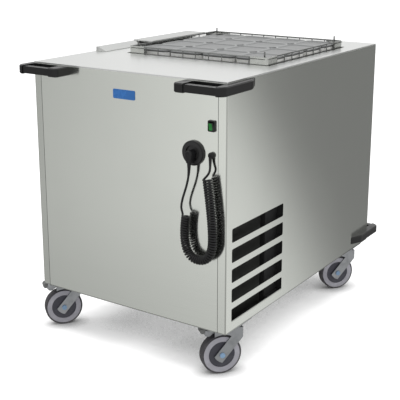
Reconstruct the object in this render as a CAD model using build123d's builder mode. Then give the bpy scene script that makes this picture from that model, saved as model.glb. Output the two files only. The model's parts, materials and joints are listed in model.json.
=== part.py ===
from build123d import *
import math
import os

os.makedirs("parts", exist_ok=True)

# Refrigerated basket dispenser: a stainless trolley with an insulated well, a sprung platform that
# keeps the top basket level with the worktop, and a cooling unit in the front bay.
# Millimetres, +Z up, front face towards -Y, origin on the floor under the middle of the overall box.

# Driving dimensions: basket and bowls
BASKET_SIZE = 525
BASKET_HEIGHT = 115
RIM_RISE = 19
RIM_WIRE = 5
LOWER_WIRE = 4
MESH_WIRE = 3.2
WIRE_PITCH = 49
CORNER_PLATE = 60
CORNER_PLATE_HEIGHT = 18
CORNER_SHEET = 2
PIN_INSET = 22
PIN_RADIUS = 2.5
PIN_RISE = 19
DISH_PITCH = 125
DISH_SIZE = 123
DISH_CORNER = 8
DISH_TAPER = 4
LID_OVERLAP = 2
LID_HEIGHT = 6
LID_BELOW_RIM = 9

# Driving dimensions: body
BASKET_CLEARANCE = 7.5
RIGHT_WALL = 52
LEFT_WALL = 116
FRONT_BAY = 312
REAR_BAY = 148
BODY_HEIGHT = 737
PANEL_SHEET = 1.5
BEND_RADIUS = 4
RETURN_WIDTH = 27
SEAM = 1.5
DECK_SHEET = 2.5
REVEAL = 2
LIP_DEPTH = 20
LIP_SHEET = 2
PAN_SHEET = 2
PAN_EDGE = 30
WELL_CORNER = 10
LINER_SHEET = 1.5
LINER_FLANGE = 15
INSULATION = 45
GUIDE_BAY = 93
PARTITION_SHEET = 1

# Driving dimensions: cooling slots in the right panel
SLOT_LENGTH = 300
SLOT_HEIGHT = 41.5
SLOT_PITCH = 61
SLOT_COUNT = 5
SLOT_FROM_FRONT = 32
SLOT_FROM_BOTTOM = 28
SLOT_CORNER = 5
SLOT_POCKET = 24

# Driving dimensions: corner mouldings
MOULD_HEIGHT = 27
MOULD_BELOW_TOP = 5
MOULD_REACH = 56
MOULD_PROUD = 22
MOULD_INNER = 142
MOULD_SIDE_ARM = 147
MOULD_SIDE_TAPER = 48
MOULD_CORNER = 24
MOULD_BACK = 3
HAND_SLOT_WIDTH = 105
HAND_SLOT_DEPTH = 34
HAND_SLOT_FROM_SIDE = 3
BAR_WAIST = 2.5
BUMPER_BOTTOM = 20

# Driving dimensions: castors
WHEEL_DIAMETER = 125
WHEEL_WIDTH = 32
TYRE_DEPTH = 6
HUB_DISC_RADIUS = 41
HEAD_HEIGHT = 38
CASTOR_FROM_SIDE = 39
CASTOR_FROM_END = 102
TRAIL = 38
TRAIL_ANGLE = 231
LEG_WIDTH = 32
LEG_END = 18.5
LEG_SHEET = 3.2
AXLE_RADIUS = 5
PEDAL_HINGE = 31
PEDAL_LENGTH = 67
PEDAL_HALF = 14
PEDAL_TIP = 7

# Driving dimensions: platform and its guide
PLATFORM_SHEET = 3
PLATFORM_EDGE = 18
PLATFORM_CLEARANCE = 10
CARRIAGE_HEIGHT = 160
ROD_RADIUS = 8
ROD_SPREAD = 150
ROD_FROM_WELL = 48
SPRING_RADIUS = 8
SPRING_SPACING = 44

# Driving dimensions: fittings on the front panel, measured from the right edge and the floor side
SWITCH_FROM_RIGHT = 48
SWITCH_BELOW_TOP = 125
SOCKET_FROM_RIGHT = 109
SOCKET_BELOW_TOP = 209
SOCKET_RADIUS = 36
GLAND_FROM_RIGHT = 48
GLAND_BELOW_TOP = 208
CORD_RADIUS = 3.25
CORD_SIDES = 12
COIL_RADIUS = 12.75

# Driving dimensions: air outlet on the left edge of the worktop
HOOD_FROM_EDGE = 5
HOOD_WIDTH = 42
HOOD_LENGTH = 535
HOOD_HEIGHT = 15
HOOD_SHEET = 1.5
HOOD_FLANGE = 10
HOOD_BEFORE_WELL = 20
DEFLECTOR_INSET = 2
DEFLECTOR_WIDTH = 84
DEFLECTOR_LENGTH = 334
DEFLECTOR_SHEET = 3.5

# Clearances
RUN_GAP = 0.3
BORE_GAP = 0.05

# Levels and places that follow from the driving dimensions
WELL_SIZE = BASKET_SIZE + 2 * BASKET_CLEARANCE
BODY_WIDTH = LEFT_WALL + WELL_SIZE + RIGHT_WALL
BODY_LENGTH = FRONT_BAY + WELL_SIZE + REAR_BAY
TRAIL_DIR = Vector(math.cos(math.radians(TRAIL_ANGLE)), math.sin(math.radians(TRAIL_ANGLE)), 0)
AXLE_DIR = Vector(-TRAIL_DIR.Y, TRAIL_DIR.X, 0)
# The left brake pedal ends the overall box on the left, and the right mouldings end it on the right
PEDAL_END = CASTOR_FROM_SIDE + TRAIL_DIR.X * (PEDAL_HINGE + PEDAL_LENGTH + PEDAL_TIP)
BODY_X = (abs(AXLE_DIR.X) * PEDAL_HALF - PEDAL_END - MOULD_PROUD) / 2
LEFT = BODY_X - BODY_WIDTH / 2
RIGHT = BODY_X + BODY_WIDTH / 2
FRONT = -BODY_LENGTH / 2
REAR = BODY_LENGTH / 2
BODY_BOTTOM = WHEEL_DIAMETER + HEAD_HEIGHT
BODY_TOP = BODY_BOTTOM + BODY_HEIGHT
DECK_UNDER = BODY_TOP - DECK_SHEET
PANEL_TOP = DECK_UNDER - REVEAL
LIP_BOTTOM = DECK_UNDER - LIP_DEPTH
PAN_FLOOR = BODY_BOTTOM + PAN_SHEET
PAN_TOP = BODY_BOTTOM + PAN_EDGE
LINER_BOTTOM = PAN_FLOOR + INSULATION
WELL_FLOOR = LINER_BOTTOM + LINER_SHEET
WELL_LEFT = LEFT + LEFT_WALL
WELL_RIGHT = WELL_LEFT + WELL_SIZE
WELL_FRONT = FRONT + FRONT_BAY
WELL_REAR = WELL_FRONT + WELL_SIZE
LINER_REAR = WELL_REAR + GUIDE_BAY
WELL_X = (WELL_LEFT + WELL_RIGHT) / 2
WELL_Y = (WELL_FRONT + WELL_REAR) / 2
PARTITION_REAR = WELL_FRONT - LINER_SHEET - INSULATION
PARTITION_FRONT = PARTITION_REAR - PARTITION_SHEET
INSIDE_WIDTH = BODY_WIDTH - 2 * PANEL_SHEET
INSIDE_LENGTH = BODY_LENGTH - 2 * PANEL_SHEET
INSIDE_LEFT = LEFT + PANEL_SHEET
INSIDE_RIGHT = RIGHT - PANEL_SHEET
INSIDE_FRONT = FRONT + PANEL_SHEET
INSIDE_REAR = REAR - PANEL_SHEET
DUCT_LEFT = INSIDE_LEFT + INSULATION
DUCT_RIGHT = WELL_LEFT - LINER_SHEET
DUCT_X = (DUCT_LEFT + DUCT_RIGHT) / 2
RIM_TOP = BODY_TOP + RIM_RISE
BASKET_BOTTOM = RIM_TOP - BASKET_HEIGHT
PLATFORM_TOP = BASKET_BOTTOM - RUN_GAP
PLATFORM_UNDER = PLATFORM_TOP - PLATFORM_SHEET
CARRIAGE_BOTTOM = PLATFORM_UNDER - CARRIAGE_HEIGHT
ROD_Y = WELL_REAR + ROD_FROM_WELL
SLOT_BOTTOM = BODY_BOTTOM + SLOT_FROM_BOTTOM
SLOT_FRONT = FRONT + SLOT_FROM_FRONT
SLOT_REAR = SLOT_FRONT + SLOT_LENGTH
SLOT_TOP = SLOT_BOTTOM + (SLOT_COUNT - 1) * SLOT_PITCH + SLOT_HEIGHT
WHEEL_RADIUS = WHEEL_DIAMETER / 2

MIDDLE = Plane.YZ.offset(BODY_X)
FRONT_FACE = Plane.XZ.offset(-FRONT)
RIGHT_FACE = Plane.YZ.offset(RIGHT)


def slab(low, high, mode=Mode.ADD):
    """Box between two corners, in the part that is being built."""
    size = [b - a for a, b in zip(low, high)]
    with Locations(tuple((a + b) / 2 for a, b in zip(low, high))):
        Box(*size, mode=mode)


def bend_radii(points):
    """Largest even arcs for a limp route: 0.45 of the shorter run over the tangent of half the turn."""
    radii = []
    for before, here, after in zip(points, points[1:], points[2:]):
        run_in = Vector(*here) - Vector(*before)
        run_out = Vector(*after) - Vector(*here)
        half_turn = math.radians(run_in.get_angle(run_out)) / 2
        radii.append(0.45 * min(run_in.length, run_out.length) / math.tan(half_turn))
    return radii


# Base pan: a shallow folded tray that carries everything
DRAIN_Y = WELL_Y + 120
DRAIN_RADIUS = 6
with BuildPart() as base_pan:
    with BuildSketch(Plane.XY.offset(BODY_BOTTOM)):
        with Locations((BODY_X, 0)):
            RectangleRounded(INSIDE_WIDTH, INSIDE_LENGTH, BEND_RADIUS - PANEL_SHEET)
    extrude(amount=PAN_EDGE)
    with BuildSketch(Plane.XY.offset(PAN_FLOOR)):
        with Locations((BODY_X, 0)):
            Rectangle(INSIDE_WIDTH - 2 * PAN_SHEET, INSIDE_LENGTH - 2 * PAN_SHEET)
    extrude(amount=PAN_EDGE, mode=Mode.SUBTRACT)
    with Locations((DUCT_X, DRAIN_Y, PAN_FLOOR)):
        Hole(DRAIN_RADIUS + RUN_GAP, depth=PAN_SHEET)
base_pan.part.label = "base_pan"
export_step(base_pan.part, "parts/base_pan.step")

# Side panels: one sheet each, folded round the front and rear corners
with BuildPart() as left_panel:
    with BuildSketch(Plane.XY.offset(BODY_BOTTOM)):
        with BuildLine():
            FilletPolyline(
                (LEFT + RETURN_WIDTH, FRONT),
                (LEFT, FRONT),
                (LEFT, REAR),
                (LEFT + RETURN_WIDTH, REAR),
                radius=BEND_RADIUS,
            )
            offset(amount=PANEL_SHEET, side=Side.RIGHT)
        make_face()
    extrude(amount=PANEL_TOP - BODY_BOTTOM)
left_panel.part.label = "left_panel"
export_step(left_panel.part, "parts/left_panel.step")

# A fold behind the right panel, over its slots, stiffens the sheet and keeps drips off the condenser
DRIP_FOLD = SLOT_TOP + 3
with BuildPart() as right_panel:
    add(mirror(left_panel.part, about=MIDDLE, mode=Mode.PRIVATE))
    with BuildSketch(RIGHT_FACE):
        with Locations(((SLOT_FRONT + SLOT_REAR) / 2, (SLOT_BOTTOM + SLOT_TOP) / 2)):
            with GridLocations(0, SLOT_PITCH, 1, SLOT_COUNT):
                RectangleRounded(SLOT_LENGTH, SLOT_HEIGHT, SLOT_CORNER)
    extrude(amount=-2 * PANEL_SHEET, mode=Mode.SUBTRACT)
    slab(
        (INSIDE_RIGHT - SLOT_POCKET + 1, SLOT_FRONT - SLOT_CORNER, DRIP_FOLD),
        (INSIDE_RIGHT, SLOT_REAR + SLOT_CORNER, DRIP_FOLD + PANEL_SHEET),
    )
right_panel.part.label = "right_panel"
export_step(right_panel.part, "parts/right_panel.step")

# Front and rear panels between the returns, with stiffening folds along their sides
PANEL_LEFT = LEFT + RETURN_WIDTH + SEAM
PANEL_RIGHT = RIGHT - RETURN_WIDTH - SEAM
PANEL_FOLD = 14
SWITCH_X = RIGHT - SWITCH_FROM_RIGHT
SWITCH_Z = BODY_TOP - SWITCH_BELOW_TOP
SWITCH_CUT = (20, 27)
SOCKET_X = RIGHT - SOCKET_FROM_RIGHT
SOCKET_Z = BODY_TOP - SOCKET_BELOW_TOP
GLAND_X = RIGHT - GLAND_FROM_RIGHT
GLAND_Z = BODY_TOP - GLAND_BELOW_TOP
GLAND_STEM = 8


def end_panel(sign):
    """Flat panel with side folds on the front (-1) or rear (+1) face, in the part being built."""
    outside = sign * REAR
    inside = sign * INSIDE_REAR
    fold = outside - sign * PANEL_FOLD
    slab((PANEL_LEFT, min(outside, inside), BODY_BOTTOM), (PANEL_RIGHT, max(outside, inside), PANEL_TOP))
    for edge in (PANEL_LEFT, PANEL_RIGHT - PANEL_SHEET):
        slab(
            (edge, min(outside, fold), PAN_TOP),
            (edge + PANEL_SHEET, max(outside, fold), LIP_BOTTOM),
        )


with BuildPart() as front_panel:
    end_panel(-1)
    with BuildSketch(FRONT_FACE):
        with Locations((SWITCH_X, SWITCH_Z)):
            Rectangle(*SWITCH_CUT)
        with Locations((GLAND_X, GLAND_Z), (SOCKET_X, SOCKET_Z)):
            Circle(GLAND_STEM)
    extrude(amount=-PANEL_SHEET, mode=Mode.SUBTRACT)
front_panel.part.label = "front_panel"
export_step(front_panel.part, "parts/front_panel.step")

with BuildPart() as rear_panel:
    end_panel(1)
rear_panel.part.label = "rear_panel"
export_step(rear_panel.part, "parts/rear_panel.step")

# Worktop: flat sheet with a lip inside the panels, the well opening and the cut-out for the air hood
HOOD_LEFT = LEFT + HOOD_FROM_EDGE
HOOD_RIGHT = HOOD_LEFT + HOOD_WIDTH
HOOD_FRONT = WELL_FRONT - HOOD_BEFORE_WELL
HOOD_REAR = HOOD_FRONT + HOOD_LENGTH
HOOD_TOP = BODY_TOP + HOOD_HEIGHT
HOOD_X = (HOOD_LEFT + HOOD_RIGHT) / 2
HOOD_Y = (HOOD_FRONT + HOOD_REAR) / 2
with BuildPart() as top_deck:
    with BuildSketch(Plane.XY.offset(DECK_UNDER)):
        with Locations((BODY_X, 0)):
            RectangleRounded(BODY_WIDTH, BODY_LENGTH, BEND_RADIUS)
        with Locations((WELL_X, WELL_Y)):
            RectangleRounded(WELL_SIZE, WELL_SIZE, WELL_CORNER, mode=Mode.SUBTRACT)
        with Locations((HOOD_X, HOOD_Y)):
            Rectangle(HOOD_WIDTH + 2 * RUN_GAP, HOOD_LENGTH + 2 * RUN_GAP, mode=Mode.SUBTRACT)
    extrude(amount=DECK_SHEET)
    with BuildSketch(Plane.XY.offset(LIP_BOTTOM)):
        with Locations((BODY_X, 0)):
            RectangleRounded(INSIDE_WIDTH, INSIDE_LENGTH, BEND_RADIUS - PANEL_SHEET)
            Rectangle(INSIDE_WIDTH - 2 * LIP_SHEET, INSIDE_LENGTH - 2 * LIP_SHEET, mode=Mode.SUBTRACT)
    extrude(amount=LIP_DEPTH)
top_deck.part.label = "top_deck"
export_step(top_deck.part, "parts/top_deck.step")

# Air outlet hood: an inverted channel pushed up through the worktop until its flange meets the sheet,
# open to the right through a row of slots under the deflector
HOOD_SLOTS = 3
HOOD_SLOT_LENGTH = 84
HOOD_SLOT_HEIGHT = 8
HOOD_BOTTOM = DECK_UNDER - HOOD_SHEET
with BuildPart() as air_outlet_hood:
    slab((HOOD_LEFT, HOOD_FRONT, HOOD_BOTTOM), (HOOD_RIGHT, HOOD_REAR, HOOD_TOP))
    slab(
        (HOOD_LEFT, HOOD_FRONT - HOOD_FLANGE, HOOD_BOTTOM),
        (HOOD_RIGHT + HOOD_FLANGE, HOOD_REAR + HOOD_FLANGE, DECK_UNDER),
    )
    slab(
        (HOOD_LEFT + HOOD_SHEET, HOOD_FRONT + HOOD_SHEET, HOOD_BOTTOM),
        (HOOD_RIGHT - HOOD_SHEET, HOOD_REAR - HOOD_SHEET, HOOD_TOP - HOOD_SHEET),
        mode=Mode.SUBTRACT,
    )
    with BuildSketch(Plane.YZ.offset(HOOD_RIGHT)):
        with Locations((HOOD_REAR - DEFLECTOR_LENGTH / 2, BODY_TOP + HOOD_HEIGHT / 2)):
            with GridLocations(DEFLECTOR_LENGTH / HOOD_SLOTS - 4, 0, HOOD_SLOTS, 1):
                SlotOverall(HOOD_SLOT_LENGTH, HOOD_SLOT_HEIGHT)
    extrude(amount=-HOOD_SHEET, mode=Mode.SUBTRACT)
air_outlet_hood.part.label = "air_outlet_hood"
export_step(air_outlet_hood.part, "parts/air_outlet_hood.step")

# Air deflector: thin plate on the rear part of the hood, reaching out towards the basket
with BuildPart() as air_deflector:
    with BuildSketch(Plane.XY.offset(HOOD_TOP)):
        with Locations((HOOD_LEFT + DEFLECTOR_INSET, HOOD_REAR)):
            RectangleRounded(DEFLECTOR_WIDTH, DEFLECTOR_LENGTH, 3, align=(Align.MIN, Align.MAX))
    extrude(amount=DEFLECTOR_SHEET)
air_deflector.part.label = "air_deflector"
export_step(air_deflector.part, "parts/air_deflector.step")

# Well liner: open-topped shaft with a guide bay behind the basket and return-air slots at its foot
LINER_LENGTH = WELL_SIZE + GUIDE_BAY
LINER_Y = WELL_FRONT + LINER_LENGTH / 2
with BuildPart() as well_liner:
    with BuildSketch(Plane.XY.offset(LINER_BOTTOM)):
        with Locations((WELL_X, LINER_Y)):
            RectangleRounded(
                WELL_SIZE + 2 * LINER_SHEET, LINER_LENGTH + 2 * LINER_SHEET, WELL_CORNER + LINER_SHEET
            )
    extrude(amount=DECK_UNDER - LINER_BOTTOM)
    with BuildSketch(Plane.XY.offset(DECK_UNDER - LINER_SHEET)):
        with Locations((WELL_X, LINER_Y)):
            Rectangle(WELL_SIZE + 2 * LINER_FLANGE, LINER_LENGTH + 2 * LINER_FLANGE)
    extrude(amount=LINER_SHEET)
    with BuildSketch(Plane.XY.offset(WELL_FLOOR)):
        with Locations((WELL_X, LINER_Y)):
            RectangleRounded(WELL_SIZE, LINER_LENGTH, WELL_CORNER)
    extrude(amount=DECK_UNDER - WELL_FLOOR, mode=Mode.SUBTRACT)
    with BuildSketch(Plane.YZ.offset(WELL_LEFT)):
        with Locations((WELL_Y, WELL_FLOOR + 60)):
            with GridLocations(150, 0, 3, 1):
                RectangleRounded(120, 40, 8)
    extrude(amount=-2 * LINER_SHEET, mode=Mode.SUBTRACT)
well_liner.part.label = "well_liner"
export_step(well_liner.part, "parts/well_liner.step")

# Insulation boards round the well, cut back behind the ends of the cooling slots
PIPE_RADIUS = 4
LIQUID_Z = BODY_BOTTOM + 400
SUCTION_Z = BODY_BOTTOM + 490
POCKET = (
    (INSIDE_RIGHT - SLOT_POCKET, PARTITION_FRONT - 1, SLOT_BOTTOM - 6),
    (INSIDE_RIGHT + 1, max(SLOT_REAR, PARTITION_REAR) + 8, SLOT_TOP + 6),
)
with BuildPart() as insulation:
    slab(
        (INSIDE_LEFT + PAN_SHEET, PARTITION_REAR, PAN_FLOOR),
        (INSIDE_RIGHT - PAN_SHEET, REAR - PANEL_FOLD, LINER_BOTTOM),
    )
    slab((INSIDE_LEFT, PARTITION_REAR, LINER_BOTTOM), (INSIDE_RIGHT, WELL_FRONT - LINER_SHEET, LIP_BOTTOM))
    slab(
        (INSIDE_LEFT, LINER_REAR + LINER_SHEET, LINER_BOTTOM),
        (INSIDE_RIGHT, REAR - PANEL_FOLD, LIP_BOTTOM),
    )
    slab(
        (INSIDE_LEFT, WELL_FRONT - LINER_SHEET, LINER_BOTTOM),
        (DUCT_LEFT, LINER_REAR + LINER_SHEET, LIP_BOTTOM),
    )
    slab(
        (WELL_RIGHT + LINER_SHEET, WELL_FRONT - LINER_SHEET, LINER_BOTTOM),
        (INSIDE_RIGHT, LINER_REAR + LINER_SHEET, LIP_BOTTOM),
    )
    slab(*POCKET, mode=Mode.SUBTRACT)
    with BuildSketch(Plane.XZ.offset(-PARTITION_REAR)):
        with Locations((DUCT_X, LIQUID_Z), (DUCT_X, SUCTION_Z)):
            Circle(PIPE_RADIUS + RUN_GAP)
    extrude(amount=-INSULATION, mode=Mode.SUBTRACT)
    with Locations((DUCT_X, DRAIN_Y, LINER_BOTTOM)):
        Hole(DRAIN_RADIUS + RUN_GAP, depth=INSULATION)
insulation.part.label = "insulation"
export_step(insulation.part, "parts/insulation.step")

with BuildPart() as partition_wall:
    slab((INSIDE_LEFT, PARTITION_FRONT, PAN_TOP), (INSIDE_RIGHT, PARTITION_REAR, LIP_BOTTOM))
    slab(
        (INSIDE_LEFT + PAN_SHEET, PARTITION_FRONT, PAN_FLOOR),
        (INSIDE_RIGHT - PAN_SHEET, PARTITION_REAR, PAN_TOP),
    )
    slab(*POCKET, mode=Mode.SUBTRACT)
    with BuildSketch(Plane.XZ.offset(-PARTITION_REAR)):
        with Locations((DUCT_X, LIQUID_Z), (DUCT_X, SUCTION_Z)):
            Circle(PIPE_RADIUS + RUN_GAP)
    extrude(amount=PARTITION_SHEET, mode=Mode.SUBTRACT)
partition_wall.part.label = "partition_wall"
export_step(partition_wall.part, "parts/partition_wall.step")

# Compressor: hermetic pot on a foot plate with four rubber feet
COMPRESSOR_X = LEFT + 294
COMPRESSOR_Y = (INSIDE_FRONT + PARTITION_FRONT) / 2
COMPRESSOR_RADIUS = 75
COMPRESSOR_HEIGHT = 170
FOOT_HEIGHT = 12
FOOT_PLATE = 3
FOOT_SPACING = 110
PIPE_BOSS = 40
COMPRESSOR_BASE = PAN_FLOOR + FOOT_HEIGHT + FOOT_PLATE
COMPRESSOR_TOP = COMPRESSOR_BASE + COMPRESSOR_HEIGHT
with BuildPart() as compressor:
    with BuildSketch(Plane.XY.offset(PAN_FLOOR)):
        with Locations((COMPRESSOR_X, COMPRESSOR_Y)):
            with GridLocations(FOOT_SPACING, FOOT_SPACING, 2, 2):
                Circle(10)
    extrude(amount=FOOT_HEIGHT)
    with BuildSketch(Plane.XY.offset(PAN_FLOOR + FOOT_HEIGHT)):
        with Locations((COMPRESSOR_X, COMPRESSOR_Y)):
            Rectangle(FOOT_SPACING + 30, FOOT_SPACING + 30)
    extrude(amount=FOOT_PLATE)
    for bottom, top, radius in (
        (0, COMPRESSOR_HEIGHT - 40, COMPRESSOR_RADIUS),
        (COMPRESSOR_HEIGHT / 2 - 5, COMPRESSOR_HEIGHT / 2 + 5, COMPRESSOR_RADIUS + 6),
        (COMPRESSOR_HEIGHT - 40, COMPRESSOR_HEIGHT - 12, COMPRESSOR_RADIUS * 0.8),
    ):
        with BuildSketch(Plane.XY.offset(COMPRESSOR_BASE + bottom)):
            with Locations((COMPRESSOR_X, COMPRESSOR_Y)):
                Circle(radius)
        extrude(amount=top - bottom)
    with BuildSketch(Plane.XY.offset(COMPRESSOR_TOP - 45)):
        with Locations((COMPRESSOR_X, COMPRESSOR_Y)):
            with GridLocations(2 * PIPE_BOSS, 0, 2, 1):
                Circle(8)
    extrude(amount=45)
compressor.part.label = "compressor"
export_step(compressor.part, "parts/compressor.step")

# Condenser behind the cooling slots: a finned block standing on the pan
CONDENSER_RIGHT = INSIDE_RIGHT - 26
CONDENSER_DEPTH = 40
CONDENSER_LEFT = CONDENSER_RIGHT - CONDENSER_DEPTH
CONDENSER_FRONT = INSIDE_FRONT + 20
CONDENSER_REAR = PARTITION_FRONT - 26
CONDENSER_TOP = SLOT_TOP + 6
FIN_PITCH = 20
FIN_GAP = 14
FIN_DEPTH = 15


def fin_block(low, high):
    """Coil block whose two broad faces are cut into upright fins, in the part being built."""
    slab(low, high)
    count = int((high[1] - low[1] - FIN_GAP) / FIN_PITCH)
    for face, inward in ((low[0], 1), (high[0], -1)):
        with BuildSketch(Plane.YZ.offset(face)) as gaps:
            with Locations(((low[1] + high[1]) / 2, (low[2] + high[2]) / 2)):
                with GridLocations(FIN_PITCH, 0, count, 1):
                    Rectangle(FIN_GAP, high[2] - low[2] - 2 * FIN_GAP)
        extrude(gaps.sketch, amount=inward * FIN_DEPTH, mode=Mode.SUBTRACT)


with BuildPart() as condenser:
    fin_block(
        (CONDENSER_LEFT, CONDENSER_FRONT, PAN_FLOOR),
        (CONDENSER_RIGHT, CONDENSER_REAR, CONDENSER_TOP),
    )
condenser.part.label = "condenser"
export_step(condenser.part, "parts/condenser.step")

# Fan shroud: a shallow box between condenser and fan, with a round mouth
SHROUD_DEPTH = 24
SHROUD_SHEET = 2
SHROUD_LEFT = CONDENSER_LEFT - SHROUD_DEPTH
SHROUD_MARGIN = 16.5
FAN_RADIUS = (CONDENSER_REAR - CONDENSER_FRONT) / 2 - SHROUD_MARGIN
FAN_TIP_GAP = 6
FAN_Y = (CONDENSER_FRONT + CONDENSER_REAR) / 2
FAN_Z = (PAN_FLOOR + CONDENSER_TOP) / 2
with BuildPart() as fan_shroud:
    slab((SHROUD_LEFT, CONDENSER_FRONT, PAN_FLOOR), (CONDENSER_LEFT, CONDENSER_REAR, CONDENSER_TOP))
    slab(
        (SHROUD_LEFT + SHROUD_SHEET, CONDENSER_FRONT + SHROUD_SHEET, PAN_FLOOR + SHROUD_SHEET),
        (CONDENSER_LEFT + 1, CONDENSER_REAR - SHROUD_SHEET, CONDENSER_TOP - SHROUD_SHEET),
        mode=Mode.SUBTRACT,
    )
    with BuildSketch(Plane.YZ.offset(SHROUD_LEFT)):
        with Locations((FAN_Y, FAN_Z)):
            Circle(FAN_RADIUS + FAN_TIP_GAP)
    extrude(amount=SHROUD_SHEET, mode=Mode.SUBTRACT)
fan_shroud.part.label = "fan_shroud"
export_step(fan_shroud.part, "parts/fan_shroud.step")

# Condenser fan: hub and pitched blades on the motor's shaft
FAN_BLADES = 5
FAN_WIDTH = 20
BLADE_WIDTH = 40
BLADE_PITCH = 65
HUB_RADIUS = 24
SHAFT_RADIUS = 4
FAN_X = SHROUD_LEFT - 2
FAN_AXIS = Plane.YZ.offset(FAN_X)
with BuildPart() as condenser_fan:
    with BuildSketch(FAN_AXIS.offset(-FAN_WIDTH / 2)):
        with Locations((FAN_Y, FAN_Z)):
            Circle(HUB_RADIUS)
            Circle(SHAFT_RADIUS + BORE_GAP, mode=Mode.SUBTRACT)
    extrude(amount=FAN_WIDTH)
    for step in range(FAN_BLADES):
        turn = math.radians(step * 360 / FAN_BLADES)
        outward = Vector(0, math.cos(turn), math.sin(turn))
        root = Vector(FAN_X, FAN_Y, FAN_Z) + outward * (HUB_RADIUS - 3)
        with BuildSketch(Plane(origin=root, x_dir=(1, 0, 0), z_dir=outward)):
            Rectangle(BLADE_WIDTH, 2, rotation=BLADE_PITCH)
        extrude(amount=FAN_RADIUS - HUB_RADIUS)
condenser_fan.part.label = "condenser_fan"
export_step(condenser_fan.part, "parts/condenser_fan.step")

# Evaporator in the left duct, between the insulation and the liner
EVAPORATOR_FRONT = WELL_FRONT + 88
EVAPORATOR_REAR = EVAPORATOR_FRONT + 400
EVAPORATOR_BOTTOM = LIQUID_Z - 40
EVAPORATOR_TOP = SUCTION_Z + 50
END_PLATE = 2
with BuildPart() as evaporator:
    fin_block(
        (DUCT_LEFT + 8, EVAPORATOR_FRONT, EVAPORATOR_BOTTOM),
        (DUCT_RIGHT - 8, EVAPORATOR_REAR, EVAPORATOR_TOP),
    )
    for plate in (EVAPORATOR_FRONT, EVAPORATOR_REAR - END_PLATE):
        slab((DUCT_LEFT, plate, EVAPORATOR_BOTTOM), (DUCT_RIGHT, plate + END_PLATE, EVAPORATOR_TOP))
evaporator.part.label = "evaporator"
export_step(evaporator.part, "parts/evaporator.step")

# Cross-flow fan under the evaporator, carried by a channel with two end plates
ROTOR_RADIUS = 22
ROTOR_BLADES = 10
ROTOR_Z = EVAPORATOR_BOTTOM - 60
HOUSING_FRONT = EVAPORATOR_FRONT + 30
HOUSING_REAR = EVAPORATOR_REAR - 20
HOUSING_PLATE = 4
HOUSING_HEIGHT = 56
with BuildPart() as evaporator_fan_housing:
    slab(
        (DUCT_LEFT, HOUSING_FRONT, ROTOR_Z - HOUSING_HEIGHT / 2),
        (DUCT_LEFT + HOUSING_PLATE, HOUSING_REAR, ROTOR_Z + HOUSING_HEIGHT / 2),
    )
    for plate in (HOUSING_FRONT, HOUSING_REAR - HOUSING_PLATE):
        slab(
            (DUCT_LEFT, plate, ROTOR_Z - HOUSING_HEIGHT / 2),
            (DUCT_RIGHT, plate + HOUSING_PLATE, ROTOR_Z + HOUSING_HEIGHT / 2),
        )
    with BuildSketch(Plane.XZ.offset(-HOUSING_FRONT)):
        with Locations((DUCT_X, ROTOR_Z)):
            Circle(SHAFT_RADIUS + BORE_GAP)
    extrude(amount=HOUSING_FRONT - HOUSING_REAR, mode=Mode.SUBTRACT)
evaporator_fan_housing.part.label = "evaporator_fan_housing"
export_step(evaporator_fan_housing.part, "parts/evaporator_fan_housing.step")

ROTOR_FRONT = HOUSING_FRONT + HOUSING_PLATE + 2
ROTOR_REAR = HOUSING_REAR - HOUSING_PLATE - 2
ROTOR_DISC = 4
with BuildPart() as evaporator_fan:
    for disc in (ROTOR_FRONT, ROTOR_REAR - ROTOR_DISC):
        with BuildSketch(Plane.XZ.offset(-disc)):
            with Locations((DUCT_X, ROTOR_Z)):
                Circle(ROTOR_RADIUS)
        extrude(amount=-ROTOR_DISC)
    with BuildSketch(Plane.XZ.offset(-ROTOR_FRONT)):
        with Locations((DUCT_X, ROTOR_Z)):
            with PolarLocations(ROTOR_RADIUS - 5, ROTOR_BLADES):
                Rectangle(7, 1.5, rotation=25)
    extrude(amount=ROTOR_FRONT - ROTOR_REAR)
    with BuildSketch(Plane.XZ.offset(-HOUSING_FRONT)):
        with Locations((DUCT_X, ROTOR_Z)):
            Circle(SHAFT_RADIUS)
    extrude(amount=HOUSING_FRONT - ROTOR_FRONT - ROTOR_DISC)
    with BuildSketch(Plane.XZ.offset(-HOUSING_REAR)):
        with Locations((DUCT_X, ROTOR_Z)):
            Circle(SHAFT_RADIUS)
    extrude(amount=HOUSING_REAR - ROTOR_REAR + ROTOR_DISC)
evaporator_fan.part.label = "evaporator_fan"
export_step(evaporator_fan.part, "parts/evaporator_fan.step")

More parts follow.
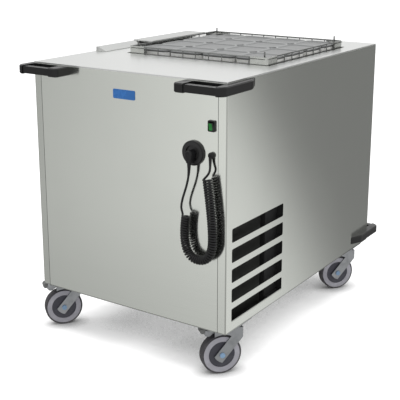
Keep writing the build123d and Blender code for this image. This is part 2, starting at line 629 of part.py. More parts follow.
# Fan motors: the condenser motor on a three-armed bracket, the evaporator motor on its end plate
MOTOR_RADIUS = 34
MOTOR_LENGTH = 42
MOTOR_GAP = 3
MOTOR_FACE = FAN_X - FAN_WIDTH / 2 - MOTOR_GAP
BRACKET_RADIUS = FAN_RADIUS + FAN_TIP_GAP + 6
BRACKET_BAR = 10
with BuildPart() as fan_motors:
    with BuildSketch(Plane.YZ.offset(MOTOR_FACE)):
        with Locations((FAN_Y, FAN_Z)):
            Circle(MOTOR_RADIUS)
    extrude(amount=-MOTOR_LENGTH)
    with BuildSketch(Plane.YZ.offset(MOTOR_FACE)):
        with Locations((FAN_Y, FAN_Z)):
            Circle(SHAFT_RADIUS)
    extrude(amount=MOTOR_GAP + FAN_WIDTH)
    with BuildSketch(Plane.YZ.offset(MOTOR_FACE - BRACKET_BAR)):
        with Locations((FAN_Y, FAN_Z)):
            with PolarLocations(BRACKET_RADIUS / 2 + 8, 3, start_angle=90):
                Rectangle(BRACKET_RADIUS, BRACKET_BAR)
    extrude(amount=6)
    with BuildSketch(Plane.YZ.offset(MOTOR_FACE - BRACKET_BAR)):
        with Locations((FAN_Y, FAN_Z)):
            with PolarLocations(BRACKET_RADIUS + 5, 3, start_angle=90):
                Rectangle(6, BRACKET_BAR)
    extrude(amount=SHROUD_LEFT - MOTOR_FACE + BRACKET_BAR)
    with BuildSketch(Plane.XZ.offset(-HOUSING_FRONT)):
        with Locations((DUCT_X, ROTOR_Z)):
            Circle(ROTOR_RADIUS)
    extrude(amount=40)
fan_motors.part.label = "fan_motors"
export_step(fan_motors.part, "parts/fan_motors.step")

# Drip tray under the fan, with its drain down through the pan
TRAY_Z = ROTOR_Z - HOUSING_HEIGHT / 2 - 60
TRAY_DEPTH = 16
TRAY_SHEET = 2
with BuildPart() as drip_tray:
    slab((DUCT_LEFT, EVAPORATOR_FRONT, TRAY_Z), (DUCT_RIGHT, EVAPORATOR_REAR, TRAY_Z + TRAY_DEPTH))
    slab(
        (DUCT_LEFT + TRAY_SHEET, EVAPORATOR_FRONT + TRAY_SHEET, TRAY_Z + TRAY_SHEET),
        (DUCT_RIGHT - TRAY_SHEET, EVAPORATOR_REAR - TRAY_SHEET, TRAY_Z + TRAY_DEPTH + 1),
        mode=Mode.SUBTRACT,
    )
    with BuildSketch(Plane.XY.offset(TRAY_Z + TRAY_SHEET)):
        with Locations((DUCT_X, DRAIN_Y)):
            Circle(DRAIN_RADIUS)
    extrude(amount=BODY_BOTTOM - TRAY_Z - TRAY_SHEET)
    with Locations((DUCT_X, DRAIN_Y, TRAY_Z + TRAY_SHEET)):
        Hole(DRAIN_RADIUS - 1.5, depth=TRAY_Z + TRAY_SHEET - BODY_BOTTOM)
drip_tray.part.label = "drip_tray"
export_step(drip_tray.part, "parts/drip_tray.step")

# Refrigerant pipes: hot gas to the condenser, liquid to the evaporator, suction back
PIPE_BEND = 10
PIPE_LANE = PARTITION_FRONT - 14
CONDENSER_X = (CONDENSER_LEFT + CONDENSER_RIGHT) / 2
HOT_GAS_TOP = CONDENSER_TOP + 45
PIPE_ROUTES = (
    (
        (COMPRESSOR_X + PIPE_BOSS, COMPRESSOR_Y, COMPRESSOR_TOP),
        (COMPRESSOR_X + PIPE_BOSS, COMPRESSOR_Y, HOT_GAS_TOP),
        (CONDENSER_X, COMPRESSOR_Y, HOT_GAS_TOP),
        (CONDENSER_X, COMPRESSOR_Y, CONDENSER_TOP),
    ),
    (
        (CONDENSER_X, CONDENSER_REAR, CONDENSER_TOP - 5),
        (CONDENSER_X, PIPE_LANE, CONDENSER_TOP - 5),
        (DUCT_X, PIPE_LANE, LIQUID_Z),
        (DUCT_X, EVAPORATOR_FRONT, LIQUID_Z),
    ),
    (
        (COMPRESSOR_X - PIPE_BOSS, COMPRESSOR_Y, COMPRESSOR_TOP),
        (COMPRESSOR_X - PIPE_BOSS, COMPRESSOR_Y, SUCTION_Z),
        (DUCT_X, COMPRESSOR_Y, SUCTION_Z),
        (DUCT_X, EVAPORATOR_FRONT, SUCTION_Z),
    ),
)
with BuildPart() as refrigerant_pipes:
    for route in PIPE_ROUTES:
        with BuildLine() as pipe_path:
            FilletPolyline(*route, radius=PIPE_BEND)
        with BuildSketch(Plane(origin=pipe_path.line @ 0, z_dir=pipe_path.line % 0)):
            RegularPolygon(PIPE_RADIUS, 6)
        sweep(path=pipe_path.line)
refrigerant_pipes.part.label = "refrigerant_pipes"
export_step(refrigerant_pipes.part, "parts/refrigerant_pipes.step")

# Thermostat on the partition wall
with BuildPart() as thermostat:
    with BuildSketch(Plane.XZ.offset(-PARTITION_FRONT)):
        with Locations((COMPRESSOR_X + 190, CONDENSER_TOP + 140)):
            RectangleRounded(70, 90, 6)
    extrude(amount=38)
    with BuildSketch(Plane.XZ.offset(38 - PARTITION_FRONT)):
        with Locations((COMPRESSOR_X + 190, CONDENSER_TOP + 155)):
            Circle(16)
    extrude(amount=10)
thermostat.part.label = "thermostat"
export_step(thermostat.part, "parts/thermostat.step")

# Guide: two upright rods between brackets on the rear wall of the well
BRACKET_SHEET = 12
ROD_BOTTOM = WELL_FLOOR + BRACKET_SHEET
ROD_TOP = DECK_UNDER - BRACKET_SHEET
BRACKET_HALF = ROD_SPREAD + 30
BRACKET_FRONT = ROD_Y - 22
with BuildPart() as guide_brackets:
    for level in (WELL_FLOOR, ROD_TOP):
        slab(
            (WELL_X - BRACKET_HALF, BRACKET_FRONT, level),
            (WELL_X + BRACKET_HALF, LINER_REAR, level + BRACKET_SHEET),
        )
guide_brackets.part.label = "guide_brackets"
export_step(guide_brackets.part, "parts/guide_brackets.step")

with BuildPart() as guide_rods:
    with BuildSketch(Plane.XY.offset(ROD_BOTTOM)):
        with Locations((WELL_X, ROD_Y)):
            with GridLocations(2 * ROD_SPREAD, 0, 2, 1):
                Circle(ROD_RADIUS)
    extrude(amount=ROD_TOP - ROD_BOTTOM)
guide_rods.part.label = "guide_rods"
export_step(guide_rods.part, "parts/guide_rods.step")

# Carriage: rear plate with four bearing blocks on the rods, a spring shelf and two arms
CARRIAGE_FRONT = WELL_REAR + 4
CARRIAGE_SHEET = 4
CARRIAGE_HALF = ROD_SPREAD + 26
BLOCK_SIZE = 40
SHELF_SHEET = 5
ARM_WIDTH = 36
ARM_HEIGHT = 30
ARM_WALL = 2
ARM_FRONT = WELL_FRONT + 70
CARRIAGE_REAR = CARRIAGE_FRONT + CARRIAGE_SHEET
with BuildPart() as carriage:
    slab(
        (WELL_X - CARRIAGE_HALF, CARRIAGE_FRONT, CARRIAGE_BOTTOM),
        (WELL_X + CARRIAGE_HALF, CARRIAGE_REAR, PLATFORM_UNDER),
    )
    for level in (CARRIAGE_BOTTOM, PLATFORM_UNDER - BLOCK_SIZE):
        with BuildSketch(Plane.XY.offset(level)):
            for side in (-1, 1):
                with Locations((WELL_X + side * ROD_SPREAD, CARRIAGE_REAR)):
                    Rectangle(
                        BLOCK_SIZE,
                        ROD_Y + ROD_RADIUS + 10 - CARRIAGE_REAR,
                        align=(Align.CENTER, Align.MIN),
                    )
            with Locations((WELL_X - ROD_SPREAD, ROD_Y), (WELL_X + ROD_SPREAD, ROD_Y)):
                Circle(ROD_RADIUS + BORE_GAP, mode=Mode.SUBTRACT)
        extrude(amount=BLOCK_SIZE)
    slab(
        (WELL_X - ROD_SPREAD + BLOCK_SIZE / 2, CARRIAGE_REAR, CARRIAGE_BOTTOM),
        (WELL_X + ROD_SPREAD - BLOCK_SIZE / 2, ROD_Y + SPRING_RADIUS + 4, CARRIAGE_BOTTOM + SHELF_SHEET),
    )
    for side in (-1, 1):
        slab(
            (WELL_X + side * ROD_SPREAD - ARM_WIDTH / 2, ARM_FRONT, PLATFORM_UNDER - ARM_HEIGHT),
            (WELL_X + side * ROD_SPREAD + ARM_WIDTH / 2, CARRIAGE_FRONT, PLATFORM_UNDER),
        )
        bore = ARM_WIDTH / 2 - ARM_WALL
        slab(
            (WELL_X + side * ROD_SPREAD - bore, ARM_FRONT - 1, PLATFORM_UNDER - ARM_HEIGHT + ARM_WALL),
            (WELL_X + side * ROD_SPREAD + bore, CARRIAGE_FRONT, PLATFORM_UNDER - ARM_WALL),
            mode=Mode.SUBTRACT,
        )
carriage.part.label = "carriage"
export_step(carriage.part, "parts/carriage.step")

# Lift springs: close-wound barrels hung from the top bracket, stretched as the platform sinks
SPRING_COUNT = 4
SPRING_BOTTOM = CARRIAGE_BOTTOM + SHELF_SHEET + RUN_GAP
with BuildPart() as lift_springs:
    with BuildSketch(Plane.XY.offset(SPRING_BOTTOM)):
        with Locations((WELL_X, ROD_Y)):
            with GridLocations(SPRING_SPACING, 0, SPRING_COUNT, 1):
                Circle(SPRING_RADIUS)
    extrude(amount=ROD_TOP - SPRING_BOTTOM)
lift_springs.part.label = "lift_springs"
export_step(lift_springs.part, "parts/lift_springs.step")

# Platform: perforated tray that the lowest basket stands on
PLATFORM_SIZE = WELL_SIZE - 2 * PLATFORM_CLEARANCE
PLATFORM_HOLES = 4
PLATFORM_HOLE = 80
PLATFORM_FRONT = WELL_Y - PLATFORM_SIZE / 2
PLATFORM_REAR = WELL_Y + PLATFORM_SIZE / 2
with BuildPart() as platform:
    with BuildSketch(Plane.XY.offset(PLATFORM_UNDER)):
        with Locations((WELL_X, WELL_Y)):
            RectangleRounded(PLATFORM_SIZE, PLATFORM_SIZE, WELL_CORNER)
            with GridLocations(PLATFORM_HOLE + 30, PLATFORM_HOLE + 30, PLATFORM_HOLES, PLATFORM_HOLES):
                Rectangle(PLATFORM_HOLE, PLATFORM_HOLE, mode=Mode.SUBTRACT)
    extrude(amount=PLATFORM_SHEET)
    for side in (-1, 1):
        edge = WELL_X + side * (PLATFORM_SIZE - PLATFORM_SHEET) / 2
        slab(
            (edge - PLATFORM_SHEET / 2, PLATFORM_FRONT + WELL_CORNER, PLATFORM_TOP - PLATFORM_EDGE),
            (edge + PLATFORM_SHEET / 2, PLATFORM_REAR - WELL_CORNER, PLATFORM_UNDER),
        )
platform.part.label = "platform"
export_step(platform.part, "parts/platform.step")

# Basket floor: square frame with a crossed grid
RIM_LINE = BASKET_SIZE / 2 - CORNER_SHEET - RIM_WIRE / 2
FLOOR_TOP = BASKET_BOTTOM + RIM_WIRE
WIRES_PER_SIDE = 2 * int((BASKET_SIZE / 2 - CORNER_PLATE) / WIRE_PITCH) + 1
with BuildPart() as basket_floor:
    with BuildSketch(Plane.XY.offset(BASKET_BOTTOM)):
        with Locations((WELL_X, WELL_Y)):
            Rectangle(2 * RIM_LINE + RIM_WIRE, 2 * RIM_LINE + RIM_WIRE)
            Rectangle(2 * RIM_LINE - RIM_WIRE, 2 * RIM_LINE - RIM_WIRE, mode=Mode.SUBTRACT)
            with GridLocations(WIRE_PITCH, 0, WIRES_PER_SIDE, 1):
                Rectangle(MESH_WIRE, 2 * RIM_LINE)
            with GridLocations(0, 2 * WIRE_PITCH, 1, WIRES_PER_SIDE // 2 + 1):
                Rectangle(2 * RIM_LINE, MESH_WIRE)
    extrude(amount=RIM_WIRE)
basket_floor.part.label = "basket_floor"
export_step(basket_floor.part, "parts/basket_floor.step")

# Basket walls: four welded grids, each with a rim wire, a lower wire and uprights between
RIM_Z = RIM_TOP - RIM_WIRE / 2
LOWER_Z = RIM_Z - 17
MIDDLE_Z = (FLOOR_TOP + LOWER_Z) / 2
with BuildPart() as basket_walls:
    for quarter in range(4):
        turn = math.radians(90 * quarter)
        outward = Vector(math.cos(turn), math.sin(turn), 0)
        along = Vector(-math.sin(turn), math.cos(turn), 0)
        length = 2 * RIM_LINE if quarter % 2 else 2 * RIM_LINE - RIM_WIRE
        with BuildSketch(Plane(origin=(WELL_X, WELL_Y, 0), x_dir=along, z_dir=outward).offset(RIM_LINE)):
            for level, wire in ((RIM_Z, RIM_WIRE), (LOWER_Z, LOWER_WIRE), (MIDDLE_Z, MESH_WIRE)):
                with Locations((0, level)):
                    Rectangle(length, wire)
            with Locations((0, FLOOR_TOP)):
                with GridLocations(WIRE_PITCH, 0, WIRES_PER_SIDE, 1):
                    Rectangle(MESH_WIRE, RIM_Z - FLOOR_TOP, align=(Align.CENTER, Align.MIN))
        extrude(amount=MESH_WIRE / 2, both=True)
basket_walls.part.label = "basket_walls"
export_step(basket_walls.part, "parts/basket_walls.step")

# Basket corners: stamped angle plates with a small shelf that carries the stacking pin
PLATE_TOP = RIM_TOP - 0.5
SHELF_LEG = 46
SHELF_Z = RIM_Z - RIM_WIRE / 2 - 1.2
with BuildPart() as basket_corners:
    for quarter in range(4):
        frame = Plane(
            origin=(WELL_X, WELL_Y, 0),
            x_dir=(math.cos(math.radians(90 * quarter)), math.sin(math.radians(90 * quarter)), 0),
            z_dir=(0, 0, 1),
        )
        corner = BASKET_SIZE / 2
        with BuildSketch(frame.offset(PLATE_TOP - CORNER_PLATE_HEIGHT)):
            with BuildLine():
                FilletPolyline(
                    (corner - CORNER_PLATE, corner),
                    (corner, corner),
                    (corner, corner - CORNER_PLATE),
                    radius=BEND_RADIUS,
                )
                offset(amount=CORNER_SHEET, side=Side.RIGHT)
            make_face()
        extrude(amount=CORNER_PLATE_HEIGHT)
        inner = corner - CORNER_SHEET / 2
        with BuildSketch(frame.offset(SHELF_Z - 1)):
            with BuildLine():
                Polyline((inner - SHELF_LEG, inner), (inner, inner), (inner, inner - SHELF_LEG), close=True)
            make_face()
        extrude(amount=2)
        with BuildSketch(frame.offset(SHELF_Z)):
            with Locations((corner - PIN_INSET, corner - PIN_INSET)):
                Circle(PIN_RADIUS)
        extrude(amount=RIM_TOP + PIN_RISE - SHELF_Z)
basket_corners.part.label = "basket_corners"
export_step(basket_corners.part, "parts/basket_corners.step")

# Covered square bowls, pushed into the rear right corner of the basket under the corner shelves
LID_TOP = RIM_TOP - LID_BELOW_RIM
LID_UNDER = LID_TOP - LID_HEIGHT
BASKET_INSIDE = 2 * RIM_LINE - RIM_WIRE
DISH_ROWS = int(BASKET_INSIDE // DISH_PITCH)
DISH_SHIFT = (BASKET_INSIDE - (DISH_ROWS - 1) * DISH_PITCH - DISH_SIZE) / 2 - 1
with BuildPart() as portion_bowls:
    with BuildSketch(Plane.XY.offset(LID_UNDER)):
        with Locations((WELL_X + DISH_SHIFT, WELL_Y + DISH_SHIFT)):
            with GridLocations(DISH_PITCH, DISH_PITCH, DISH_ROWS, DISH_ROWS):
                RectangleRounded(DISH_SIZE, DISH_SIZE, DISH_CORNER)
    extrude(amount=LID_HEIGHT)
    rim = DISH_SIZE - 2 * LID_OVERLAP
    downward = Plane(origin=(WELL_X, WELL_Y, LID_UNDER), x_dir=(1, 0, 0), z_dir=(0, 0, -1))
    with BuildSketch(downward) as dishes:
        with Locations((DISH_SHIFT, -DISH_SHIFT)):
            with GridLocations(DISH_PITCH, DISH_PITCH, DISH_ROWS, DISH_ROWS):
                Rectangle(rim, rim)
        chamfer(dishes.vertices(), DISH_CORNER / 2)
    extrude(amount=LID_UNDER - FLOOR_TOP, taper=DISH_TAPER)
portion_bowls.part.label = "portion_bowls"
export_step(portion_bowls.part, "parts/portion_bowls.step")

# Corner handles: one moulding for the right front corner and its mirror image
HANDLE_TOP = BODY_TOP - MOULD_BELOW_TOP
HANDLE_BOTTOM = HANDLE_TOP - MOULD_HEIGHT
BAR_FRONT = FRONT - MOULD_REACH
SLOT_RIGHT = RIGHT - HAND_SLOT_FROM_SIDE
SLOT_LEFT = SLOT_RIGHT - HAND_SLOT_WIDTH
EDGE_ROUND = 3
with BuildPart() as corner_handles:
    with BuildSketch(Plane.XY.offset(HANDLE_BOTTOM)):
        with BuildLine():
            FilletPolyline(
                (RIGHT - MOULD_INNER, FRONT),
                (RIGHT - MOULD_INNER, BAR_FRONT),
                (RIGHT + MOULD_PROUD, BAR_FRONT),
                (RIGHT + MOULD_PROUD, FRONT + MOULD_SIDE_ARM - MOULD_SIDE_TAPER),
                (RIGHT, FRONT + MOULD_SIDE_ARM),
                radius=(MOULD_CORNER / 2, MOULD_CORNER, MOULD_CORNER),
            )
            Polyline(
                (RIGHT, FRONT + MOULD_SIDE_ARM), (RIGHT, FRONT), (RIGHT - MOULD_INNER, FRONT)
            )
        make_face()
    extrude(amount=MOULD_HEIGHT)
    rounded = corner_handles.edges().group_by(Axis.Z)[0] + corner_handles.edges().group_by(Axis.Z)[-1]
    outer = [e for e in rounded if e.center().Y < FRONT - 1 or e.center().X > RIGHT + 1]
    chamfer(outer, EDGE_ROUND)
    with BuildSketch(Plane.XY.offset(HANDLE_BOTTOM - 1)):
        with Locations(((SLOT_LEFT + SLOT_RIGHT) / 2, FRONT - MOULD_BACK)):
            RectangleRounded(
                HAND_SLOT_WIDTH, HAND_SLOT_DEPTH - MOULD_BACK, 6, align=(Align.CENTER, Align.MAX)
            )
    extrude(amount=MOULD_HEIGHT + 2, mode=Mode.SUBTRACT)
    with BuildSketch(Plane.YZ.offset(SLOT_LEFT)):
        with BuildLine():
            Polyline(
                (BAR_FRONT - 1, HANDLE_TOP + 1),
                (FRONT - HAND_SLOT_DEPTH + 2, HANDLE_TOP + 1),
                (FRONT - HAND_SLOT_DEPTH + 2, HANDLE_TOP - BAR_WAIST),
                (BAR_FRONT + BAR_WAIST, HANDLE_TOP - BAR_WAIST),
                (BAR_FRONT + BAR_WAIST, HANDLE_BOTTOM + BAR_WAIST),
                (FRONT - HAND_SLOT_DEPTH + 2, HANDLE_BOTTOM + BAR_WAIST),
                (FRONT - HAND_SLOT_DEPTH + 2, HANDLE_BOTTOM - 1),
                (BAR_FRONT - 1, HANDLE_BOTTOM - 1),
                close=True,
            )
        make_face()
    extrude(amount=HAND_SLOT_WIDTH, mode=Mode.SUBTRACT)
    mirror(about=MIDDLE)
corner_handles.part.label = "corner_handles"
export_step(corner_handles.part, "parts/corner_handles.step")

# Corner bumpers: the same moulding turned to the rear corners, low down
with BuildPart() as corner_bumpers:
    low_copy = mirror(corner_handles.part, about=Plane.XZ, mode=Mode.PRIVATE)
    add(low_copy.moved(Location((0, 0, BODY_BOTTOM + BUMPER_BOTTOM - HANDLE_BOTTOM))))
corner_bumpers.part.label = "corner_bumpers"
export_step(corner_bumpers.part, "parts/corner_bumpers.step")

# Switch: bezel through the panel, and a rocker tilted to its lit side
BEZEL_WIDTH = 24
BEZEL_HEIGHT = 32
BEZEL_PROUD = 6
ROCKER_WIDTH = 16.4
ROCKER_HALF = 11.2
ROCKER_TILT = 10
ROCKER_SIDE_GAP = 0.4
ROCKER_END_GAP = 1.3
with BuildPart() as switch_bezel:
    with BuildSketch(FRONT_FACE):
        with Locations((SWITCH_X, SWITCH_Z)):
            RectangleRounded(BEZEL_WIDTH, BEZEL_HEIGHT, 4)
    extrude(amount=BEZEL_PROUD)
    chamfer(switch_bezel.faces().sort_by(Axis.Y)[0].edges(), 1.5)
    with BuildSketch(FRONT_FACE):
        with Locations((SWITCH_X, SWITCH_Z)):
            Rectangle(SWITCH_CUT[0] - 2 * RUN_GAP, SWITCH_CUT[1] - 2 * RUN_GAP)
    extrude(amount=-24)
    with BuildSketch(FRONT_FACE.offset(BEZEL_PROUD)):
        with Locations((SWITCH_X, SWITCH_Z)):
            Rectangle(ROCKER_WIDTH + 2 * ROCKER_SIDE_GAP, 2 * (ROCKER_HALF + ROCKER_END_GAP))
    extrude(amount=-BEZEL_PROUD - 12, mode=Mode.SUBTRACT)
switch_bezel.part.label = "switch_bezel"
export_step(switch_bezel.part, "parts/switch_bezel.step")

with BuildPart() as rocker:
    pivot = Vector(SWITCH_X - ROCKER_WIDTH / 2, FRONT - 1, SWITCH_Z)
    inward = Vector(0, math.cos(math.radians(ROCKER_TILT)), math.sin(math.radians(ROCKER_TILT)))
    with BuildSketch(Plane(origin=pivot, x_dir=inward, z_dir=(1, 0, 0))):
        with BuildLine():
            Polyline((-6, -ROCKER_HALF), (4, -7), (4, 7), (-6, ROCKER_HALF))
            ThreePointArc((-6, ROCKER_HALF), (-4.5, 0), (-6, -ROCKER_HALF))
        make_face()
    extrude(amount=ROCKER_WIDTH)
rocker.part.label = "rocker"
export_step(rocker.part, "parts/rocker.step")

# Parking socket: round plate with a recess for the plug, screwed to the front panel
SOCKET_PROUD = 8
SOCKET_RECESS = 5
RECESS_RADIUS = 23
with BuildPart() as parking_socket:
    with BuildSketch(FRONT_FACE):
        with Locations((SOCKET_X, SOCKET_Z)):
            Circle(SOCKET_RADIUS)
    extrude(amount=SOCKET_PROUD)
    chamfer(parking_socket.faces().sort_by(Axis.Y)[0].edges(), 2)
    with BuildSketch(FRONT_FACE.offset(SOCKET_PROUD)):
        with Locations((SOCKET_X, SOCKET_Z)):
            Circle(RECESS_RADIUS)
    extrude(amount=-SOCKET_RECESS, mode=Mode.SUBTRACT)
    with BuildSketch(FRONT_FACE):
        with Locations((SOCKET_X, SOCKET_Z)):
            Circle(GLAND_STEM - RUN_GAP)
    extrude(amount=-20)
parking_socket.part.label = "parking_socket"
export_step(parking_socket.part, "parts/parking_socket.step")

# Right-angle plug parked in the socket's recess, with its tail pointing down over the rim
PLUG_RADIUS = 16
PLUG_DEPTH = 22
PLUG_TAIL = 33
PLUG_LEAD_OUT = 24
PLUG_TAIL_END = SOCKET_Z - PLUG_RADIUS - PLUG_TAIL + 10
with BuildPart() as plug:
    with BuildSketch(FRONT_FACE.offset(SOCKET_PROUD)):
        with Locations((SOCKET_X, SOCKET_Z)):
            Circle(PLUG_RADIUS)
            Polygon(
                (-PLUG_RADIUS * 0.9, 0),
                (-7, -PLUG_RADIUS - 8),
                (7, -PLUG_RADIUS - 8),
                (PLUG_RADIUS * 0.9, 0),
                align=None,
            )
    extrude(amount=PLUG_DEPTH)
    chamfer(plug.faces().sort_by(Axis.Y)[0].edges(), 4)
    with BuildSketch(FRONT_FACE.offset(SOCKET_PROUD)):
        with Locations((SOCKET_X, SOCKET_Z)):
            Circle(PLUG_RADIUS)
    extrude(amount=-SOCKET_RECESS)
    with BuildSketch(Plane.XY.offset(SOCKET_Z - PLUG_RADIUS - 8)):
        with Locations((SOCKET_X, FRONT - PLUG_LEAD_OUT)):
            Circle(6.5)
    with BuildSketch(Plane.XY.offset(PLUG_TAIL_END)):
        with Locations((SOCKET_X, FRONT - PLUG_LEAD_OUT)):
            Circle(4.5)
    loft()
plug.part.label = "plug"
export_step(plug.part, "parts/plug.step")

# Cable gland: domed nut on the panel with its outlet turned down
GLAND_RADIUS = 11.5
GLAND_PROUD = 11
GLAND_OUT = 9
GLAND_OUTLET_END = GLAND_Z - 13
with BuildPart() as cable_gland:
    with BuildSketch(FRONT_FACE):
        with Locations((GLAND_X, GLAND_Z)):
            Circle(GLAND_RADIUS)
    extrude(amount=GLAND_PROUD)
    chamfer(cable_gland.faces().sort_by(Axis.Y)[0].edges(), 3)
    with BuildSketch(Plane.XY.offset(GLAND_Z)):
        with Locations((GLAND_X, FRONT - GLAND_OUT)):
            Circle(4.8)
    extrude(amount=GLAND_OUTLET_END - GLAND_Z)
    with BuildSketch(FRONT_FACE):
        with Locations((GLAND_X, GLAND_Z)):
            Circle(GLAND_STEM - RUN_GAP)
    extrude(amount=-16)
cable_gland.part.label = "cable_gland"
export_step(cable_gland.part, "parts/cable_gland.step")

# Cord routes: each point is (from the right edge, in front of the panel, below the worktop)
PLUG_LEAD_ROUTE = (
    (SOCKET_FROM_RIGHT, PLUG_LEAD_OUT, BODY_TOP - PLUG_TAIL_END),
    (109, 24, 280),
    (141, 22, 362),
    (130, 22, 394),
)
COIL_ROUTE = (
    (121, 22, 390),
    (131, 22, 452),
    (109, 22, 518),
    (41, 22, 512),
    (25, 22, 430),
    (50, 22, 272),
)
GLAND_LEAD_ROUTE = (
    (GLAND_FROM_RIGHT, GLAND_OUT, BODY_TOP - GLAND_OUTLET_END),
    (GLAND_FROM_RIGHT, GLAND_OUT, BODY_TOP - GLAND_OUTLET_END + 9),
    (44, 17, 254),
    (57, 22, 280),
)


def on_panel(route):
    """Route points in the part's own frame."""
    return [(RIGHT - across, FRONT - out, BODY_TOP - down) for across, out, down in route]


def cord_tube(name, route, radius):
    """Tube along a cord's route, in the part being built."""
    points = on_panel(route)
    radii = bend_radii(points)
    with BuildLine() as path:
        FilletPolyline(*points, radius=radii)
    with BuildSketch(Plane(origin=path.line @ 0, z_dir=path.line % 0)) as section:
        RegularPolygon(radius, CORD_SIDES)
    sweep(section.sketch, path=path.line)
    print(name, "length", round(path.wires()[0].length, 1), "radii", [round(r, 1) for r in radii])


with BuildPart() as plug_lead:
    cord_tube("plug_lead", PLUG_LEAD_ROUTE, CORD_RADIUS)
plug_lead.part.label = "plug_lead"
export_step(plug_lead.part, "parts/plug_lead.step")

with BuildPart() as cord_coil:
    cord_tube("cord_coil", COIL_ROUTE, COIL_RADIUS)
cord_coil.part.label = "cord_coil"
export_step(cord_coil.part, "parts/cord_coil.step")

with BuildPart() as gland_lead:
    cord_tube("gland_lead", GLAND_LEAD_ROUTE, CORD_RADIUS)
gland_lead.part.label = "gland_lead"
export_step(gland_lead.part, "parts/gland_lead.step")

# Castors: levels inside the head, from the pan down to the wheel
PLATE_SHEET = 4
PLATE_SIZE = (74, 100)
RACE_RADIUS = 29
RACE_DEPTH = 9
KINGPIN_RADIUS = 6
NUT_RADIUS = 10
NUT_HEIGHT = 7
CROWN_SHEET = 3.5
BOSS_HEIGHT = 3.7
PLATE_BOTTOM = BODY_BOTTOM - PLATE_SHEET
RACE_BOTTOM = PLATE_BOTTOM - RACE_DEPTH
CROWN_TOP = RACE_BOTTOM - RUN_GAP - BOSS_HEIGHT
CROWN_BOTTOM = CROWN_TOP - CROWN_SHEET
NUT_TOP = CROWN_BOTTOM - RUN_GAP
CROWN_FRONT = -27
CROWN_REAR = 24
LEG_INSIDE = WHEEL_WIDTH / 2 + 1.2
LEG_OUTSIDE = LEG_INSIDE + LEG_SHEET
LEG_TOP = Vector(-9, WHEEL_RADIUS + 55.5)
WING_RADIUS = WHEEL_RADIUS + 3
WING_END = 44
CAP_RADIUS = 8
CAP_HEIGHT = 4
HUB_RADIUS_WHEEL = 14
HUB_HALF = WHEEL_WIDTH / 2 + 0.4
PEDAL_Z = WHEEL_DIAMETER + 12
BARREL_RADIUS = 5.2
PEDAL_PIN = 3
PEDAL_SHEET = 3
PEDAL_LIFT = 7
SHOE_BOTTOM = WHEEL_DIAMETER - 1

CASTOR_X = BODY_WIDTH / 2 - CASTOR_FROM_SIDE
CASTOR_Y = BODY_LENGTH / 2 - CASTOR_FROM_END
CASTORS = {
    "front_left": (BODY_X - CASTOR_X, -CASTOR_Y),
    "front_right": (BODY_X + CASTOR_X, -CASTOR_Y),
    "rear_left": (BODY_X - CASTOR_X, CASTOR_Y),
    "rear_right": (BODY_X + CASTOR_X, CASTOR_Y),
}

with BuildPart() as castor_plates:
    for x, y in CASTORS.values():
        for bottom, top, shape in (
            (PLATE_BOTTOM, BODY_BOTTOM, None),
            (RACE_BOTTOM, PLATE_BOTTOM, RACE_RADIUS),
            (NUT_TOP - NUT_HEIGHT, RACE_BOTTOM, KINGPIN_RADIUS),
            (NUT_TOP - NUT_HEIGHT, NUT_TOP, NUT_RADIUS),
        ):
            with BuildSketch(Plane.XY.offset(bottom)):
                with Locations((x, y)):
                    if shape is None:
                        Rectangle(*PLATE_SIZE)
                    else:
                        Circle(shape)
            extrude(amount=top - bottom)
castor_plates.part.label = "castor_plates"
export_step(castor_plates.part, "parts/castor_plates.step")


def leg_outline(braked):
    """Side outline of a fork cheek, x along the trail and y up, in the sketch being built."""
    wing_end = WING_END + (18 if braked else 0)
    axle = Vector(TRAIL, WHEEL_RADIUS)
    down = (axle - LEG_TOP).normalized()
    across = Vector(-down.Y, down.X)
    low = axle - across * (LEG_WIDTH / 2) + down * LEG_END
    high = axle + across * (LEG_WIDTH / 2) + down * LEG_END
    tip = axle + down * (LEG_END + 3.5)
    front_knee = low - down * ((low.X - CROWN_FRONT) / down.X)
    notch_up = math.sqrt(WING_RADIUS**2 - (LEG_WIDTH / 2) ** 2)
    notch = axle + across * (LEG_WIDTH / 2) - down * notch_up
    wing_low = axle + Vector(wing_end - TRAIL, math.sqrt(WING_RADIUS**2 - (wing_end - TRAIL) ** 2))
    over_wheel = axle + (notch + wing_low - axle * 2).normalized() * WING_RADIUS
    with BuildLine() as outline:
        Polyline(
            (wing_low.X, wing_low.Y),
            (wing_end, CROWN_BOTTOM),
            (wing_end - 12, CROWN_TOP),
            (CROWN_FRONT, CROWN_TOP),
            (front_knee.X, front_knee.Y),
            (low.X, low.Y),
        )
        ThreePointArc((low.X, low.Y), (tip.X, tip.Y), (high.X, high.Y))
        Line((high.X, high.Y), (notch.X, notch.Y))
        ThreePointArc((notch.X, notch.Y), (over_wheel.X, over_wheel.Y), (wing_low.X, wing_low.Y))
    make_face(outline.edges())
    if braked:
        with Locations((PEDAL_HINGE, PEDAL_Z)):
            Circle(PEDAL_PIN + BORE_GAP, mode=Mode.SUBTRACT)
    with Locations((TRAIL, WHEEL_RADIUS)):
        Circle(AXLE_RADIUS + BORE_GAP, mode=Mode.SUBTRACT)


def ring_section(points):
    """Closed section of a wheel piece, in the sketch being built."""
    with BuildLine() as outline:
        Polyline(*points, close=True)
    make_face(outline.edges())


RIM_RADIUS = WHEEL_RADIUS - TYRE_DEPTH
WHEEL_HALF = WHEEL_WIDTH / 2
RIM_HALF = WHEEL_HALF - 1
DISC_HALF = WHEEL_HALF - 3.5
BORE_RADIUS = AXLE_RADIUS + BORE_GAP

